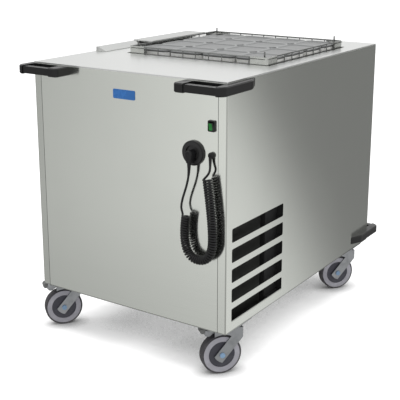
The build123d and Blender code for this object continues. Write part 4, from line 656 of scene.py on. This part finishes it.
class DISPENSER_OT_stage(Operator):
    """Set up the camera, a pale floor and soft studio light"""

    bl_idname = "dispenser.stage"
    bl_label = "Stage"

    def execute(self, context):
        settings = context.scene.dispenser_stage
        self.add_camera(context.scene, settings)
        self.add_floor(context.scene, settings)
        self.add_lamps(context.scene, settings)
        self.add_world(context.scene, settings)
        context.scene.view_settings.view_transform = "Standard"
        return {"FINISHED"}

    def add_camera(self, scene, settings):
        """A camera at the photograph's angle."""
        camera = bpy.data.cameras.new("camera")
        camera.lens = settings.lens
        camera.sensor_width = 36.0
        camera.shift_x, camera.shift_y = settings.camera_shift
        holder = bpy.data.objects.new("camera", camera)
        scene.collection.objects.link(holder)
        heading, pitch = settings.camera_heading, settings.camera_pitch
        look = Vector((-math.sin(heading), math.cos(heading), -math.tan(pitch)))
        holder.location = settings.camera_place
        holder.rotation_euler = look.to_track_quat("-Z", "Y").to_euler()
        scene.camera = holder

    def add_floor(self, scene, settings):
        """A floor that is white to the eye, apart from soft shade under and beside the object."""
        bm = bmesh.new()
        bmesh.ops.create_grid(bm, x_segments=1, y_segments=1, size=20.0)
        mesh = bpy.data.meshes.new("floor")
        bm.to_mesh(mesh)
        bm.free()
        floor = bpy.data.objects.new("floor", mesh)
        scene.collection.objects.link(floor)
        white = shade((1.0, 1.0, 1.0))
        material, tree, shader = new_finish("studio floor", Roughness=1.0, Emission_Color=white)
        shader.inputs["Base Color"].default_value = shade(settings.floor_colour)
        shader.inputs["Specular IOR Level"].default_value = 0.0
        path = put(tree, "ShaderNodeLightPath").outputs
        seen = maths(tree, "MAXIMUM", path["Is Camera Ray"], path["Is Transmission Ray"])
        # How open the floor is to the room, far out and close by
        far, near, shaded, lit = 0.26, 0.05, 0.07, 0.75
        clear, close = (
            put(tree, "ShaderNodeAmbientOcclusion", {"Distance": reach}, samples=8).outputs["AO"]
            for reach in (far, near)
        )
        # The glow fades where the floor is closed in: painted shadow under and beside the object
        close = maths(tree, "MULTIPLY", close, close)
        glow = maths(tree, "MULTIPLY", close, ramp(tree, clear, 0.32, 0.58, shaded, lit))
        feed(tree, shader, Emission_Strength=maths(tree, "MULTIPLY", seen, glow))
        mesh.materials.append(material)
        floor.visible_glossy = False

    def add_lamps(self, scene, settings):
        """A large lamp overhead and a weaker one from the right."""
        for name, place, size, power in (
            ("key lamp", (-0.9, -1.3, 3.3), 2.6, settings.key_power),
            ("side lamp", (2.6, 0.6, 2.4), 1.8, settings.key_power * 0.35),
        ):
            lamp = bpy.data.lights.new(name, "AREA")
            lamp.size = size
            lamp.energy = power
            holder = bpy.data.objects.new(name, lamp)
            scene.collection.objects.link(holder)
            holder.location = place
            aim = Vector((0.0, 0.0, 0.5)) - holder.location
            holder.rotation_euler = aim.to_track_quat("-Z", "Y").to_euler()

    def add_world(self, scene, settings):
        """White to the eye, an even surround to the light, and a graded studio to reflections."""
        world = bpy.data.worlds.new("soft studio")
        world.use_nodes = True
        tree = world.node_tree
        way = put(tree, "ShaderNodeTexCoord").outputs["Generated"]
        x, y, z = put(tree, "ShaderNodeSeparateXYZ", {0: way}).outputs
        # Walls: the front one darkens to the left and near the floor, the rear one behind a slanted flag
        front = within(tree, maths(tree, "MULTIPLY_ADD", x, 1.68, 1.645), 0.45, 0.85)
        front = maths(tree, "MULTIPLY", front, ramp(tree, z, -0.455, -0.27, 0.63, 1.05))
        flag = maths(tree, "MULTIPLY_ADD", z, -2.68, maths(tree, "MULTIPLY", x, 5.07))
        rear = ramp(tree, flag, 2.85, 3.32, 0.212, 0.74)
        contrast = maths(tree, "SUBTRACT", rear, front)
        walls = maths(tree, "MULTIPLY_ADD", ramp(tree, y, -0.25, 0.25), contrast, front)
        # Ceiling: it starts higher on the right, and is a little darker far to the left
        start = ramp(tree, x, 0.0, 0.4, 0.0, 0.36)
        above = ramp(tree, maths(tree, "SUBTRACT", z, start), -0.11, 0.02)
        ceiling = within(tree, maths(tree, "MULTIPLY_ADD", z, 3.6, 0.32), 0.55, 1.0)
        ceiling = maths(tree, "MULTIPLY", ceiling, ramp(tree, x, -0.72, -0.58, 0.86, 1.0))
        studio = maths(tree, "MULTIPLY_ADD", above, maths(tree, "SUBTRACT", ceiling, walls), walls)
        path = put(tree, "ShaderNodeLightPath").outputs
        spread = maths(tree, "SUBTRACT", studio, settings.surround)
        level = maths(tree, "MULTIPLY_ADD", path["Is Glossy Ray"], spread, settings.surround)
        seen = maths(tree, "MAXIMUM", path["Is Camera Ray"], path["Is Transmission Ray"])
        level = maths(tree, "MAXIMUM", level, seen)
        tree.links.new(level, tree.nodes["Background"].inputs["Color"])
        scene.world = world


class DISPENSER_OT_cord(Operator):
    """Hang the curly cord from its gland, and make the plug parked at its far end"""

    bl_idname = "dispenser.cord"
    bl_label = "Curly cord"

    def execute(self, context):
        settings = context.scene.dispenser_cord
        sheath = moulded("cord sheath", settings.colour, 0.36, 700.0, 0.00004, gloss=0.4)
        axis = line_of(smooth_curve("coil axis", from_front(reversed(COIL)), 24))
        turns = wound(axis, settings.coil_radius, settings.turns, settings.steps)
        controls = from_front(GLAND_LEAD[:-1]) + turns + from_front(reversed(PLUG_LEAD[:-1]))
        line = line_of(smooth_curve("cord line", controls, 4))
        curve = smooth_curve("curly_cord", controls, 4)
        curve.bevel_depth = settings.diameter / 2
        curve.bevel_resolution = 3
        curve.use_fill_caps = True
        nodes = ("plug_lead", "cord_coil", "gland_lead")
        cord = settle(bpy.data.objects.new("curly_cord", curve), sheath, "body", nodes)
        plug_sleeve = add_sleeve("plug_sleeve", line[::-1], 0.024, 0.0048, 0.0035, sheath)
        gland_sleeve = add_sleeve("gland_sleeve", line, 0.021, 0.0045, 0.0034, sheath)
        plug = self.add_plug(moulded("rubber plug", shade(settings.colour, 1.8), 0.45, 800.0, gloss=0.35))
        return {"FINISHED"}

    def add_plug(self, material):
        """A right-angle plug in its socket: a tall body with a sunk grip, and a tail round the lead."""
        front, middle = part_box("plug")[0].y, middle_of("parking_socket")
        base, head, waist, foot, tail_drop = FRONT_FACE - 0.0035, 0.0112, 0.0066, 0.025, 0.0295
        turns = [math.pi * number / 14 for number in range(15)]
        outline = [(math.cos(turn) * head, math.sin(turn) * head) for turn in turns]
        outline += [(-waist, -foot), (waist, -foot)]
        bm = bmesh.new()
        add_prism(bm, [(middle.x + x, base, middle.z + z) for x, z in outline], (0, front - base, 0))
        round_off(bm, outermost(bm, (0, -1, 0)).edges[:], 0.0030, 4)
        grip = ((0.0014, 0.0), (0.0003, 0.0), (0.0012, -0.0012), (0.0003, 0.0))
        sink(bm, [outermost(bm, (0, -1, 0))], grip)
        tail = Matrix.Translation((middle.x, FRONT_FACE - PLUG_LEAD[0][1], middle.z - tail_drop))
        bmesh.ops.create_cone(
            bm, cap_ends=True, segments=24, radius1=0.0049, radius2=0.0060, depth=0.019, matrix=tail
        )
        bmesh.ops.recalc_face_normals(bm, faces=bm.faces)
        return new_piece("parked_plug", bm, material, "body", ("plug",))


class DISPENSER_OT_casing(Operator):
    """Finish the sheet steel, and make the air hood, the dark strips that paint the shade in the seams, and
    the blank plate
    """

    bl_idname = "dispenser.casing"
    bl_label = "Casing"

    def execute(self, context):
        settings = context.scene.dispenser_casing
        # The left panel's sheet at level 0.87 is a darker copy of the same steel: painted shade
        for name, nodes, level, side in (
            ("brushed panel", ("front_panel", "rear_panel"), 1.0, None),
            ("shaded left panel", ("left_panel",), 0.87, 0),
            ("right panel", ("right_panel",), 1.0, 1),
        ):
            colour = shade(settings.steel_colour, level)
            sheet = brushed_sheet(name, colour, settings.roughness, LEVEL_BRUSH, 0.8)
            tree = sheet.node_tree
            # Painted dark reflection along the side panel's front bend
            if side is not None:
                bend = (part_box(nodes[0])[side].x, FRONT_FACE, 0.0)
                away = distance_on_piece(tree, (1, 1, 0), bend)
                overlay(sheet, ramp(tree, away, *BEND_SHADE_FADE, 1.0, 0.0), shade(colour, 0.55))
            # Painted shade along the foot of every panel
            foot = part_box("front_panel")[0].z
            hem_shade = ramp(tree, height_on_piece(tree), foot + HEM_SHADE_FADE[0], foot + HEM_SHADE_FADE[1], 1.0, 0.0)
            overlay(sheet, hem_shade, shade(colour, 0.5))
            paint(sheet, *nodes)
        top = settings.worktop_colour
        paint(brushed_sheet("brushed worktop", top, settings.worktop_roughness, LONG_BRUSH), "top_deck")
        hood = brushed_sheet("brushed hood", shade(top, 0.80), 0.42, LONG_BRUSH)
        paint(hood, "air_deflector")
        inner = brushed_sheet("plain sheet", settings.inner_colour, 0.36, (5.0, 5.0, 240.0))
        paint(inner, "well_liner", "base_pan", "platform", "carriage", "drip_tray")
        self.add_hood(hood)
        self.add_plate(settings)
        self.add_seam_shade_strips()
        return {"FINISHED"}

    def add_hood(self, material):
        """A folded rail that slopes down to the worktop, with three outlets under the deflector."""
        flange, flat, lip, fold = 0.010, 0.014, 0.002, 0.0007
        outlet, drawn_in = 0.084, 0.004
        low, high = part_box("air_outlet_hood")
        front, rear = low.y + flange, high.y - flange
        ridge, toe = Vector((low.x + flat, front, high.z)), Vector((high.x - flange, front, WORKTOP + lip))
        left, right = (low.x, front, WORKTOP), (toe.x, front, WORKTOP)
        bm = bmesh.new()
        add_prism(bm, (left, (low.x, front, high.z), ridge, toe, right), (0, rear - front, 0))
        bmesh.ops.recalc_face_normals(bm, faces=bm.faces)
        round_off(bm, bm.edges[:], fold, 2)
        plate_low, plate_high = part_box("air_deflector")
        step = (plate_high.y - plate_low.y) / 3 - drawn_in
        middles = [(plate_low.y + plate_high.y) / 2 + step * number for number in (-1, 0, 1)]
        ends = [middle + half for middle in middles for half in (-outlet / 2, outlet / 2)]
        cuts = [(ridge.lerp(toe, share), toe - ridge) for share in (0.25, 0.75)]
        for point, way in cuts + [((0, end, 0), (0, 1, 0)) for end in ends]:
            bmesh.ops.bisect_plane(bm, geom=all_of(bm), dist=1e-6, plane_co=point, plane_no=way)
        slope = ridge.lerp(toe, 0.5)
        spots = [Vector((slope.x, middle, slope.z)) for middle in middles]
        gaps = {face: min((face.calc_center_median() - spot).length for spot in spots) for face in bm.faces}
        outlets = [face for face, gap in gaps.items() if gap < 0.001]
        sink(bm, outlets, ((0.0004, 0.0), (0.0002, -0.0045)))
        new_piece("sloped_hood", bm, material, "body", ("air_outlet_hood",))

    def add_plate(self, settings):
        """A plain plate with rounded corners and a low rim, stuck to the front panel."""
        thick = 0.0016
        across, up = settings.plate_centre
        size = (settings.plate_width, thick, settings.plate_height)
        bm = bmesh.new()
        add_block(bm, size, (across, FRONT_FACE - thick / 2, up))
        corners = [edge for edge in bm.edges if abs((edge.verts[0].co - edge.verts[1].co).y) > thick / 2]
        round_off(bm, corners, 0.004, 5)
        sink(bm, [outermost(bm, (0, -1, 0))], ((0.0018, 0.0), (0.0004, -0.0004)))
        enamel = moulded("blue enamel", settings.plate_colour, 0.22, 400.0, 0.00001)
        new_piece("blank_plate", bm, enamel, "body")

    def add_seam_shade_strips(self):
        """Round-faced dark strips set back in the two upright seams beside the front panel: painted shade
        that fills the seam gaps.
        """
        thick, set_back = 0.0012, 0.0008
        low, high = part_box("front_panel")
        bm = bmesh.new()
        for start, end in ((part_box("left_panel")[1].x, low.x), (high.x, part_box("right_panel")[0].x)):
            centre = ((start + end) / 2, FRONT_FACE + set_back + thick / 2, (low.z + high.z) / 2)
            add_block(bm, (end - start, thick, high.z - low.z), centre)
        nose = [
            edge
            for edge in bm.edges
            if all(vertex.co.y < FRONT_FACE + set_back + thick / 2 for vertex in edge.verts)
            and abs(edge.verts[0].co.z - edge.verts[1].co.z) > 0.1
        ]
        round_off(bm, nose, 0.0005, 4)
        # Near-black strips in the seams: painted shade
        rubber = moulded("seam shade strip", (0.012, 0.012, 0.012), 0.6, 600.0)
        new_piece("seam_shade_strips", bm, rubber, "body")


class DISPENSER_OT_basket(Operator):
    """Weave the wire basket and make its corner plates"""

    bl_idname = "dispenser.basket"
    bl_label = "Wire basket"

    def execute(self, context):
        settings = context.scene.dispenser_basket
        middle, floor = middle_of("basket_walls"), middle_of("basket_floor").z
        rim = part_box("basket_walls")[1].z - settings.rim_wire / 2 + settings.rim_raise
        lower = rim - settings.lower_drop
        half, mesh = settings.rim_line, settings.mesh_wire
        levels = (
            (rim, settings.rim_wire),
            (lower, settings.lower_wire),
            ((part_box("basket_floor")[1].z + lower) / 2, mesh),
            (floor, settings.rim_wire),
        )
        count = settings.uprights
        offsets = [(number - (count - 1) / 2) * settings.pitch for number in range(count)]
        pin, pin_foot = half - settings.pin_inset, rim - 0.004
        pin_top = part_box("basket_corners")[1].z
        bm = bmesh.new()
        for quarter, grid in enumerate((offsets, offsets[::2], (), ())):
            turn = Matrix.Rotation(math.pi / 2 * quarter, 4, "Z")
            place = Matrix.Translation((middle.x, middle.y, 0.0)) @ turn
            for height, wire in levels:
                add_rod(bm, (half, -half, height), (half, half, height), wire, place=place)
            for along in offsets:
                add_rod(bm, (half, along, floor), (half, along, rim), mesh, place=place)
            add_rod(bm, (pin, pin, pin_foot), (pin, pin, pin_top), settings.rim_wire, 16, place)
            for along in grid:
                add_rod(bm, (-half, along, floor), (half, along, floor), mesh, place=place)
        wire = bright_metal("drawn wire", settings.colour, 0.20, 60.0)
        new_piece("basket_wires", bm, wire, "basket", ("basket_walls", "basket_floor"))
        self.add_corners(settings, middle, rim)
        return {"FINISHED"}

    def add_corners(self, settings, middle, rim):
        """Folded corner plates round the rim, each with a shelf for a stacking pin."""
        leg, tall, sheet = settings.plate_leg, settings.plate_height, settings.plate_sheet
        clearance, proud, shelf_drop = 0.001, 0.002, 0.005
        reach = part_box("basket_corners")[1].x - middle.x - clearance
        outline = ((reach - leg, reach), (reach, reach), (reach, reach - leg))
        bm = bmesh.new()
        feet = [bm.verts.new((x, y, rim + proud - tall)) for x, y in outline]
        edges = [bm.edges.new(pair) for pair in zip(feet, feet[1:])]
        pull(bm, bmesh.ops.extrude_edge_only(bm, edges=edges), (0, 0, tall))
        round_off(bm, [edge for edge in bm.edges if len(edge.link_faces) == 2], 0.008, 5)
        bmesh.ops.solidify(bm, geom=bm.faces[:], thickness=sheet)
        add_prism(bm, [(x, y, rim - shelf_drop) for x, y in outline], (0, 0, sheet))
        spin(bm, 1.5 * math.pi, 3, use_duplicate=True)
        bmesh.ops.translate(bm, vec=(middle.x, middle.y, 0), verts=bm.verts)
        bmesh.ops.recalc_face_normals(bm, faces=bm.faces)
        plate = bright_metal("stamped plate", settings.plate_colour, 0.24, 25.0)
        new_piece("basket_corner_plates", bm, plate, "basket", ("basket_corners",))


class DISPENSER_OT_bowls(Operator):
    """Set covered bowls in the basket"""

    bl_idname = "dispenser.bowls"
    bl_label = "Covered bowls"

    def execute(self, context):
        settings = context.scene.dispenser_bowls
        low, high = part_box("portion_bowls")
        size = high.x - low.x - (settings.per_side - 1) * settings.pitch
        brim = high.z - settings.lid_height + settings.lid_raise
        first = Vector((low.x + size / 2, low.y + size / 2, brim))
        lids = self.make_lid(settings, size, first)
        bowls = self.make_bowl(settings, size - 2 * settings.lid_overlap, first, brim - low.z)
        steps = range(settings.per_side)
        offsets = [Vector((column, row, 0)) * settings.pitch for column in steps for row in steps]
        repeat(lids, offsets)
        repeat(bowls, offsets)
        satin = self.lid_finish(settings, brim + settings.lid_height)
        glaze = moulded("glazed bowl", settings.bowl_colour, 0.16, 300.0, 0.00001)
        new_piece("bowl_lids", lids, satin, "basket")
        new_piece("bowl_bodies", bowls, glaze, "basket", ("portion_bowls",))
        return {"FINISHED"}

    def lid_finish(self, settings, top):
        """Satin lids, with a painted highlight along the raised rim and painted shade down the skirt."""
        colour = settings.lid_colour
        material = moulded("satin lid", colour, 0.34, 500.0, 0.00001, gloss=0.35)
        tree = material.node_tree
        height = height_on_piece(tree)
        rim, skirt = (top - 0.0012, top - 0.0002), (top - 0.0042, top - 0.0032)
        # Painted highlight along the raised rim
        overlay(material, ramp(tree, height, *rim), shade(colour, 1.45))
        # Painted shade down the skirt
        overlay(material, ramp(tree, height, *skirt, 1.0, 0.0), shade(colour, 0.35))
        return material

    def make_lid(self, settings, size, place):
        """A lid with rounded corners, a soft raised rim and a sunk middle."""
        bm = rounded_block(size, settings.lid_height, settings.corner)
        round_off(bm, outermost(bm, (0, 0, 1)).edges[:], 0.0016, 3)
        sunk = ((0.0045, 0.0), (0.0004, 0.0), (0.0040, -0.0028), (0.0004, 0.0))
        sink(bm, [outermost(bm, (0, 0, 1))], sunk)
        bmesh.ops.translate(bm, vec=place + Vector((0, 0, settings.lid_height / 2)), verts=bm.verts)
        return bm

    def make_bowl(self, settings, size, place, depth):
        """A bowl whose walls lean in towards a rounded foot."""
        bm = rounded_block(size, depth, settings.corner)
        foot = [vertex for vertex in bm.verts if vertex.co.z < 0]
        narrow = 1 - 2 * depth * math.tan(settings.taper) / size
        bmesh.ops.scale(bm, vec=(narrow, narrow, 1), verts=foot)
        round_off(bm, outermost(bm, (0, 0, -1)).edges[:], 0.005, 4)
        bmesh.ops.translate(bm, vec=place - Vector((0, 0, depth / 2)), verts=bm.verts)
        return bm


class DISPENSER_OT_mouldings(Operator):
    """Finish the corner handles and bumpers"""

    bl_idname = "dispenser.mouldings"
    bl_label = "Corner mouldings"

    def execute(self, context):
        colour = context.scene.dispenser_mouldings.colour
        satin = moulded("black moulding", colour, 0.28, 900.0, 0.00006, gloss=0.35)
        paint(satin, "corner_handles", "corner_bumpers")
        return {"FINISHED"}


class DISPENSER_OT_fittings(Operator):
    """Finish the switch and the parking socket, and make the cable gland"""

    bl_idname = "dispenser.fittings"
    bl_label = "Front fittings"

    def execute(self, context):
        settings = context.scene.dispenser_mouldings
        colour = settings.colour
        grey, black = shade(colour, 4.0), shade(colour, 0.5)
        paint(moulded("black fitting", colour, 0.28, 1200.0, 0.00003, gloss=0.35), "switch_bezel")
        self.add_gland(self.ringed("gland nut", "cable_gland", 0.0050, black, colour))
        paint(self.ringed("socket face", "parking_socket", 0.0325, grey, black), "parking_socket")
        paint(self.rocker_finish(settings), "rocker")
        return {"FINISHED"}

    def centre_of(self, node):
        """Width of a round fitting, and the middle of its round on the front face."""
        low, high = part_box(node)
        width = high.x - low.x
        return width, Vector(((low.x + high.x) / 2, FRONT_FACE, high.z - width / 2))

    def add_gland(self, material):
        """A slim domed nut with a short outlet that turns the cord downwards."""
        width, centre = self.centre_of("cable_gland")
        radius, spout = 0.40 * width, 0.0092
        dome = ((radius, 0.0065), (radius - 0.0012, 0.0088), (radius - 0.0040, 0.0100), (0.0, 0.0104))
        profile = ((0.0, 0.0), (radius, 0.0), *dome)
        bm = bmesh.new()
        add_spun(bm, profile, Matrix.Translation(centre) @ facing(Vector((0, -1, 0))), 40)
        out, foot = FRONT_FACE - GLAND_LEAD[0][1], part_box("cable_gland")[0].z
        add_rod(bm, (centre.x, out, centre.z), (centre.x, out, foot), spout, 20)
        new_piece("gland_nut", bm, material, "body", ("cable_gland",))

    def ringed(self, name, node, radius, inside, outside):
        """Moulded finish with another colour within a distance of the middle of a round fitting."""
        blur = 0.0004
        material = moulded(name, outside, 0.34, 1100.0, 0.00004, gloss=0.35)
        tree = material.node_tree
        _, centre = self.centre_of(node)
        away = distance_on_piece(tree, (1, 0, 1), (centre.x, 0.0, centre.z))
        overlay(material, ramp(tree, away, radius - blur, radius + blur, 1.0, 0.0), inside)
        return material

    def rocker_finish(self, settings):
        """Green lens with a dim glow on the rocker's left part; its right part and top band are painted shade
        in black.
        """
        material = moulded("green lens", settings.colour, 0.16, 500.0, 0.00002)
        tree = material.node_tree
        shader = tree.nodes["Principled BSDF"]
        low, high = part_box("rocker")
        size = high - low
        x, _, z = put(tree, "ShaderNodeSeparateXYZ", {0: place_on_piece(tree)}).outputs
        # The lens shows only left of and below these edges; the black right part and top band are painted
        # shade
        left = ramp(tree, x, low.x + 0.56 * size.x, low.x + 0.80 * size.x, 1.0, 0.0)
        below = ramp(tree, z, high.z - 0.16 * size.z, high.z - 0.04 * size.z, 1.0, 0.0)
        lens = maths(tree, "MULTIPLY", left, below)
        overlay(material, lens, shade(settings.lens_colour))
        shader.inputs["Emission Strength"].default_value = 0.07
        glow = blend_colours(tree, lens, shade((0.0, 0.0, 0.0)), shade((0.02, 0.75, 0.10)))
        feed(tree, shader, Emission_Color=glow)
        return material


class DISPENSER_OT_castors(Operator):
    """Finish the castors, and make their guard discs and brake pedals"""

    bl_idname = "dispenser.castors"
    bl_label = "Castors"

    def execute(self, context):
        settings = context.scene.dispenser_castors
        zinc = bright_metal("zinc plate", settings.zinc_colour, 0.42, 35.0)
        wheel = moulded("grey wheel", settings.wheel_colour, 0.42, 600.0, 0.00005, dust=0.18)
        tread = moulded("tread rubber", settings.tyre_colour, 0.62, 420.0, 0.00012, dust=0.30)
        guard = moulded("dark guard", settings.guard_colour, 0.46, 700.0, 0.00005, dust=0.10)
        cap = moulded("axle cap", settings.cap_colour, 0.30, 700.0, 0.00003)
        paint(zinc, "castor_plates")
        for place in CASTORS:
            for part, finish in (("fork", zinc), ("wheel", wheel), ("tyre", tread), ("axle", cap)):
                paint(finish, f"{part}_{place}")
            self.add_guards(settings, place, guard)
        lever = bright_metal("cast lever", settings.zinc_colour, 0.45, 40.0)
        # The roller's grey is darkened partly as painted shade
        tip = moulded("roller grey with painted shade", settings.tip_colour, 0.55, 500.0, 0.0001)
        for place in CASTORS[:2]:
            self.add_pedal(settings, place, lever, tip)
        return {"FINISHED"}

    def add_guards(self, settings, place, material):
        """Two shallow dished discs in the wheel's recesses, between hub and rim."""
        centre = Matrix.Translation(middle_of(f"wheel_{place}"))
        axis = Vector(JOINTS[f"roll_{place}"]["axis"]).normalized()
        bore, radius = settings.guard_bore, settings.guard_radius
        back, edge, crest, dish = 0.0126, 0.0140, 0.0146, 0.0138
        inner = ((bore, back), (bore, edge), (bore + 0.004, crest))
        outer = ((radius - 0.006, dish), (radius - 0.002, crest), (radius, edge), (radius, back))
        bm = bmesh.new()
        for side in (axis, -axis):
            add_spun(bm, (*inner, *outer, (bore, back)), centre @ facing(side), 48)
        new_piece(f"wheel_guard_{place}", bm, material, f"wheel_{place}")

    def add_pedal(self, settings, place, lever, tip):
        """A cast lever on its hinge barrel with a brake shoe under it, and a roller across its end."""
        body, joint, half = f"pedal_{place}", JOINTS[f"brake_{place}"], settings.pedal_width / 2
        axle = Vector(joint["axis"]).normalized()
        trail = Vector((axle.y, -axle.x, 0.0))
        seat = Matrix.Translation(joint["pos_m"]) @ Matrix((trail, (0, 0, 1), axle)).transposed().to_4x4()
        bm = bmesh.new()
        add_prism(bm, [(x / 1000, z / 1000, -half) for x, z in PEDAL_SIDE], (0, 0, 2 * half))
        rims = [edge for edge in bm.edges if abs(edge.verts[0].co.z - edge.verts[1].co.z) < 1e-6]
        round_off(bm, rims, 0.0026, 4)
        barrel, pin = (0.0175, 0.0104), (0.0205, 0.006)
        for reach, diameter in (barrel, pin):
            add_rod(bm, (0, 0, -reach), (0, 0, reach), diameter, 20)
        bmesh.ops.transform(bm, matrix=seat, verts=bm.verts)
        bmesh.ops.recalc_face_normals(bm, faces=bm.faces)
        new_piece(f"brake_lever_{place}", bm, lever, body, (f"brake_pedal_{place}",))
        bm = bmesh.new()
        start = [(0.0, -0.0145), (0.0065, -0.0145), (0.0085, -0.0125)]
        roller = start + [(radius, -height) for radius, height in reversed(start)]
        end = Matrix.Translation((0.0655, 0.007, 0.0))
        add_spun(bm, roller, seat @ end, 32)
        new_piece(f"brake_roller_{place}", bm, tip, body)


class DISPENSER_OT_machinery(Operator):
    """Finish the cooling unit, insulation and lift behind the panels, and make the condenser"""

    bl_idname = "dispenser.machinery"
    bl_label = "Machinery"

    def execute(self, context):
        black = context.scene.dispenser_mouldings.colour
        enamel = moulded("black enamel", shade(black, 0.9), 0.28, 250.0, 0.00004)
        paint(enamel, "compressor", "fan_motors", "fan_shroud")
        fan = moulded("black fan", shade(black, 1.2), 0.45, 700.0)
        paint(fan, "condenser_fan", "evaporator_fan", "thermostat")
        paint(brushed_sheet("bright fins", (0.62, 0.63, 0.64), 0.4, (500.0, 3.0, 3.0)), "evaporator")
        paint(bright_metal("copper pipe", (0.72, 0.32, 0.17), 0.30, 40.0), "refrigerant_pipes")
        # Foam and partition near-black so the slots look dark: painted shade
        foam = moulded("foam darkened as shade", (0.025, 0.025, 0.026), 0.80, 260.0, 0.0003, gloss=0.2)
        paint(foam, "insulation", "partition_wall")
        paint(bright_metal("ground rod", (0.70, 0.71, 0.71), 0.16, 25.0), "guide_rods", "lift_springs")
        bracket = bright_metal("plated bracket", (0.45, 0.46, 0.47), 0.40, 35.0)
        paint(bracket, "guide_brackets", "evaporator_fan_housing")
        self.add_condenser(brushed_sheet("dark fins", (0.15, 0.152, 0.145), 0.5, (3.0, 3.0, 500.0)))
        return {"FINISHED"}

    def add_condenser(self, material):
        """A condenser of close upright fins threaded on rows of tube."""
        pitch, thick, margin, row_pitch, tube = 0.003, 0.0007, 0.001, 0.025, 0.009
        low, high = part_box("condenser")
        size = high - low
        count, rows = int(size.y / pitch), int(size.z / row_pitch)
        step = (size.y - 2 * margin) / count
        bm = bmesh.new()
        middle = middle_of("condenser")
        add_block(bm, (size.x, thick, size.z), (middle.x, low.y + margin, middle.z))
        repeat(bm, [Vector((0, number * step, 0)) for number in range(count + 1)])
        for row in range(rows):
            height = low.z + (row + 0.5) * size.z / rows
            for share in (0.25, 0.75):
                across = low.x + share * size.x
                add_rod(bm, (across, low.y, height), (across, high.y, height), tube)
        new_piece("condenser_fins", bm, material, "body", ("condenser",))


class DISPENSER_PT_panel(Panel):
    """Lists the pieces of the dispenser"""

    bl_label = "Basket Dispenser"
    bl_idname = "DISPENSER_PT_panel"
    bl_space_type = "VIEW_3D"
    bl_region_type = "UI"
    bl_category = "Dispenser"

    def draw(self, context):
        for group, _, operators in SECTIONS:
            box = self.layout.box()
            for operator in operators:
                box.operator(operator.bl_idname)
            settings = getattr(context.scene, group)
            for name in settings.__annotations__:
                box.prop(settings, name)


# These take their black from one group of settings
BLACK_PARTS = (DISPENSER_OT_mouldings, DISPENSER_OT_fittings, DISPENSER_OT_machinery)
SECTIONS = (
    ("dispenser_stage", StageSettings, (DISPENSER_OT_stage,)),
    ("dispenser_cord", CordSettings, (DISPENSER_OT_cord,)),
    ("dispenser_casing", CasingSettings, (DISPENSER_OT_casing,)),
    ("dispenser_basket", BasketSettings, (DISPENSER_OT_basket,)),
    ("dispenser_bowls", BowlSettings, (DISPENSER_OT_bowls,)),
    ("dispenser_mouldings", MouldingSettings, BLACK_PARTS),
    ("dispenser_castors", CastorSettings, (DISPENSER_OT_castors,)),
)


def register():
    for group, settings, operators in SECTIONS:
        for kind in (settings, *operators):
            bpy.utils.register_class(kind)
        setattr(bpy.types.Scene, group, PointerProperty(type=settings))
    bpy.utils.register_class(DISPENSER_PT_panel)


def unregister():
    bpy.utils.unregister_class(DISPENSER_PT_panel)
    for group, settings, operators in reversed(SECTIONS):
        delattr(bpy.types.Scene, group)
        for kind in (*reversed(operators), settings):
            bpy.utils.unregister_class(kind)


def main():
    register()
    bpy.ops.dispenser.stage()
    bpy.ops.dispenser.cord()
    bpy.ops.dispenser.casing()
    bpy.ops.dispenser.basket()
    bpy.ops.dispenser.bowls()
    bpy.ops.dispenser.mouldings()
    bpy.ops.dispenser.fittings()
    bpy.ops.dispenser.castors()
    bpy.ops.dispenser.machinery()


if __name__ == "__main__":
    main()
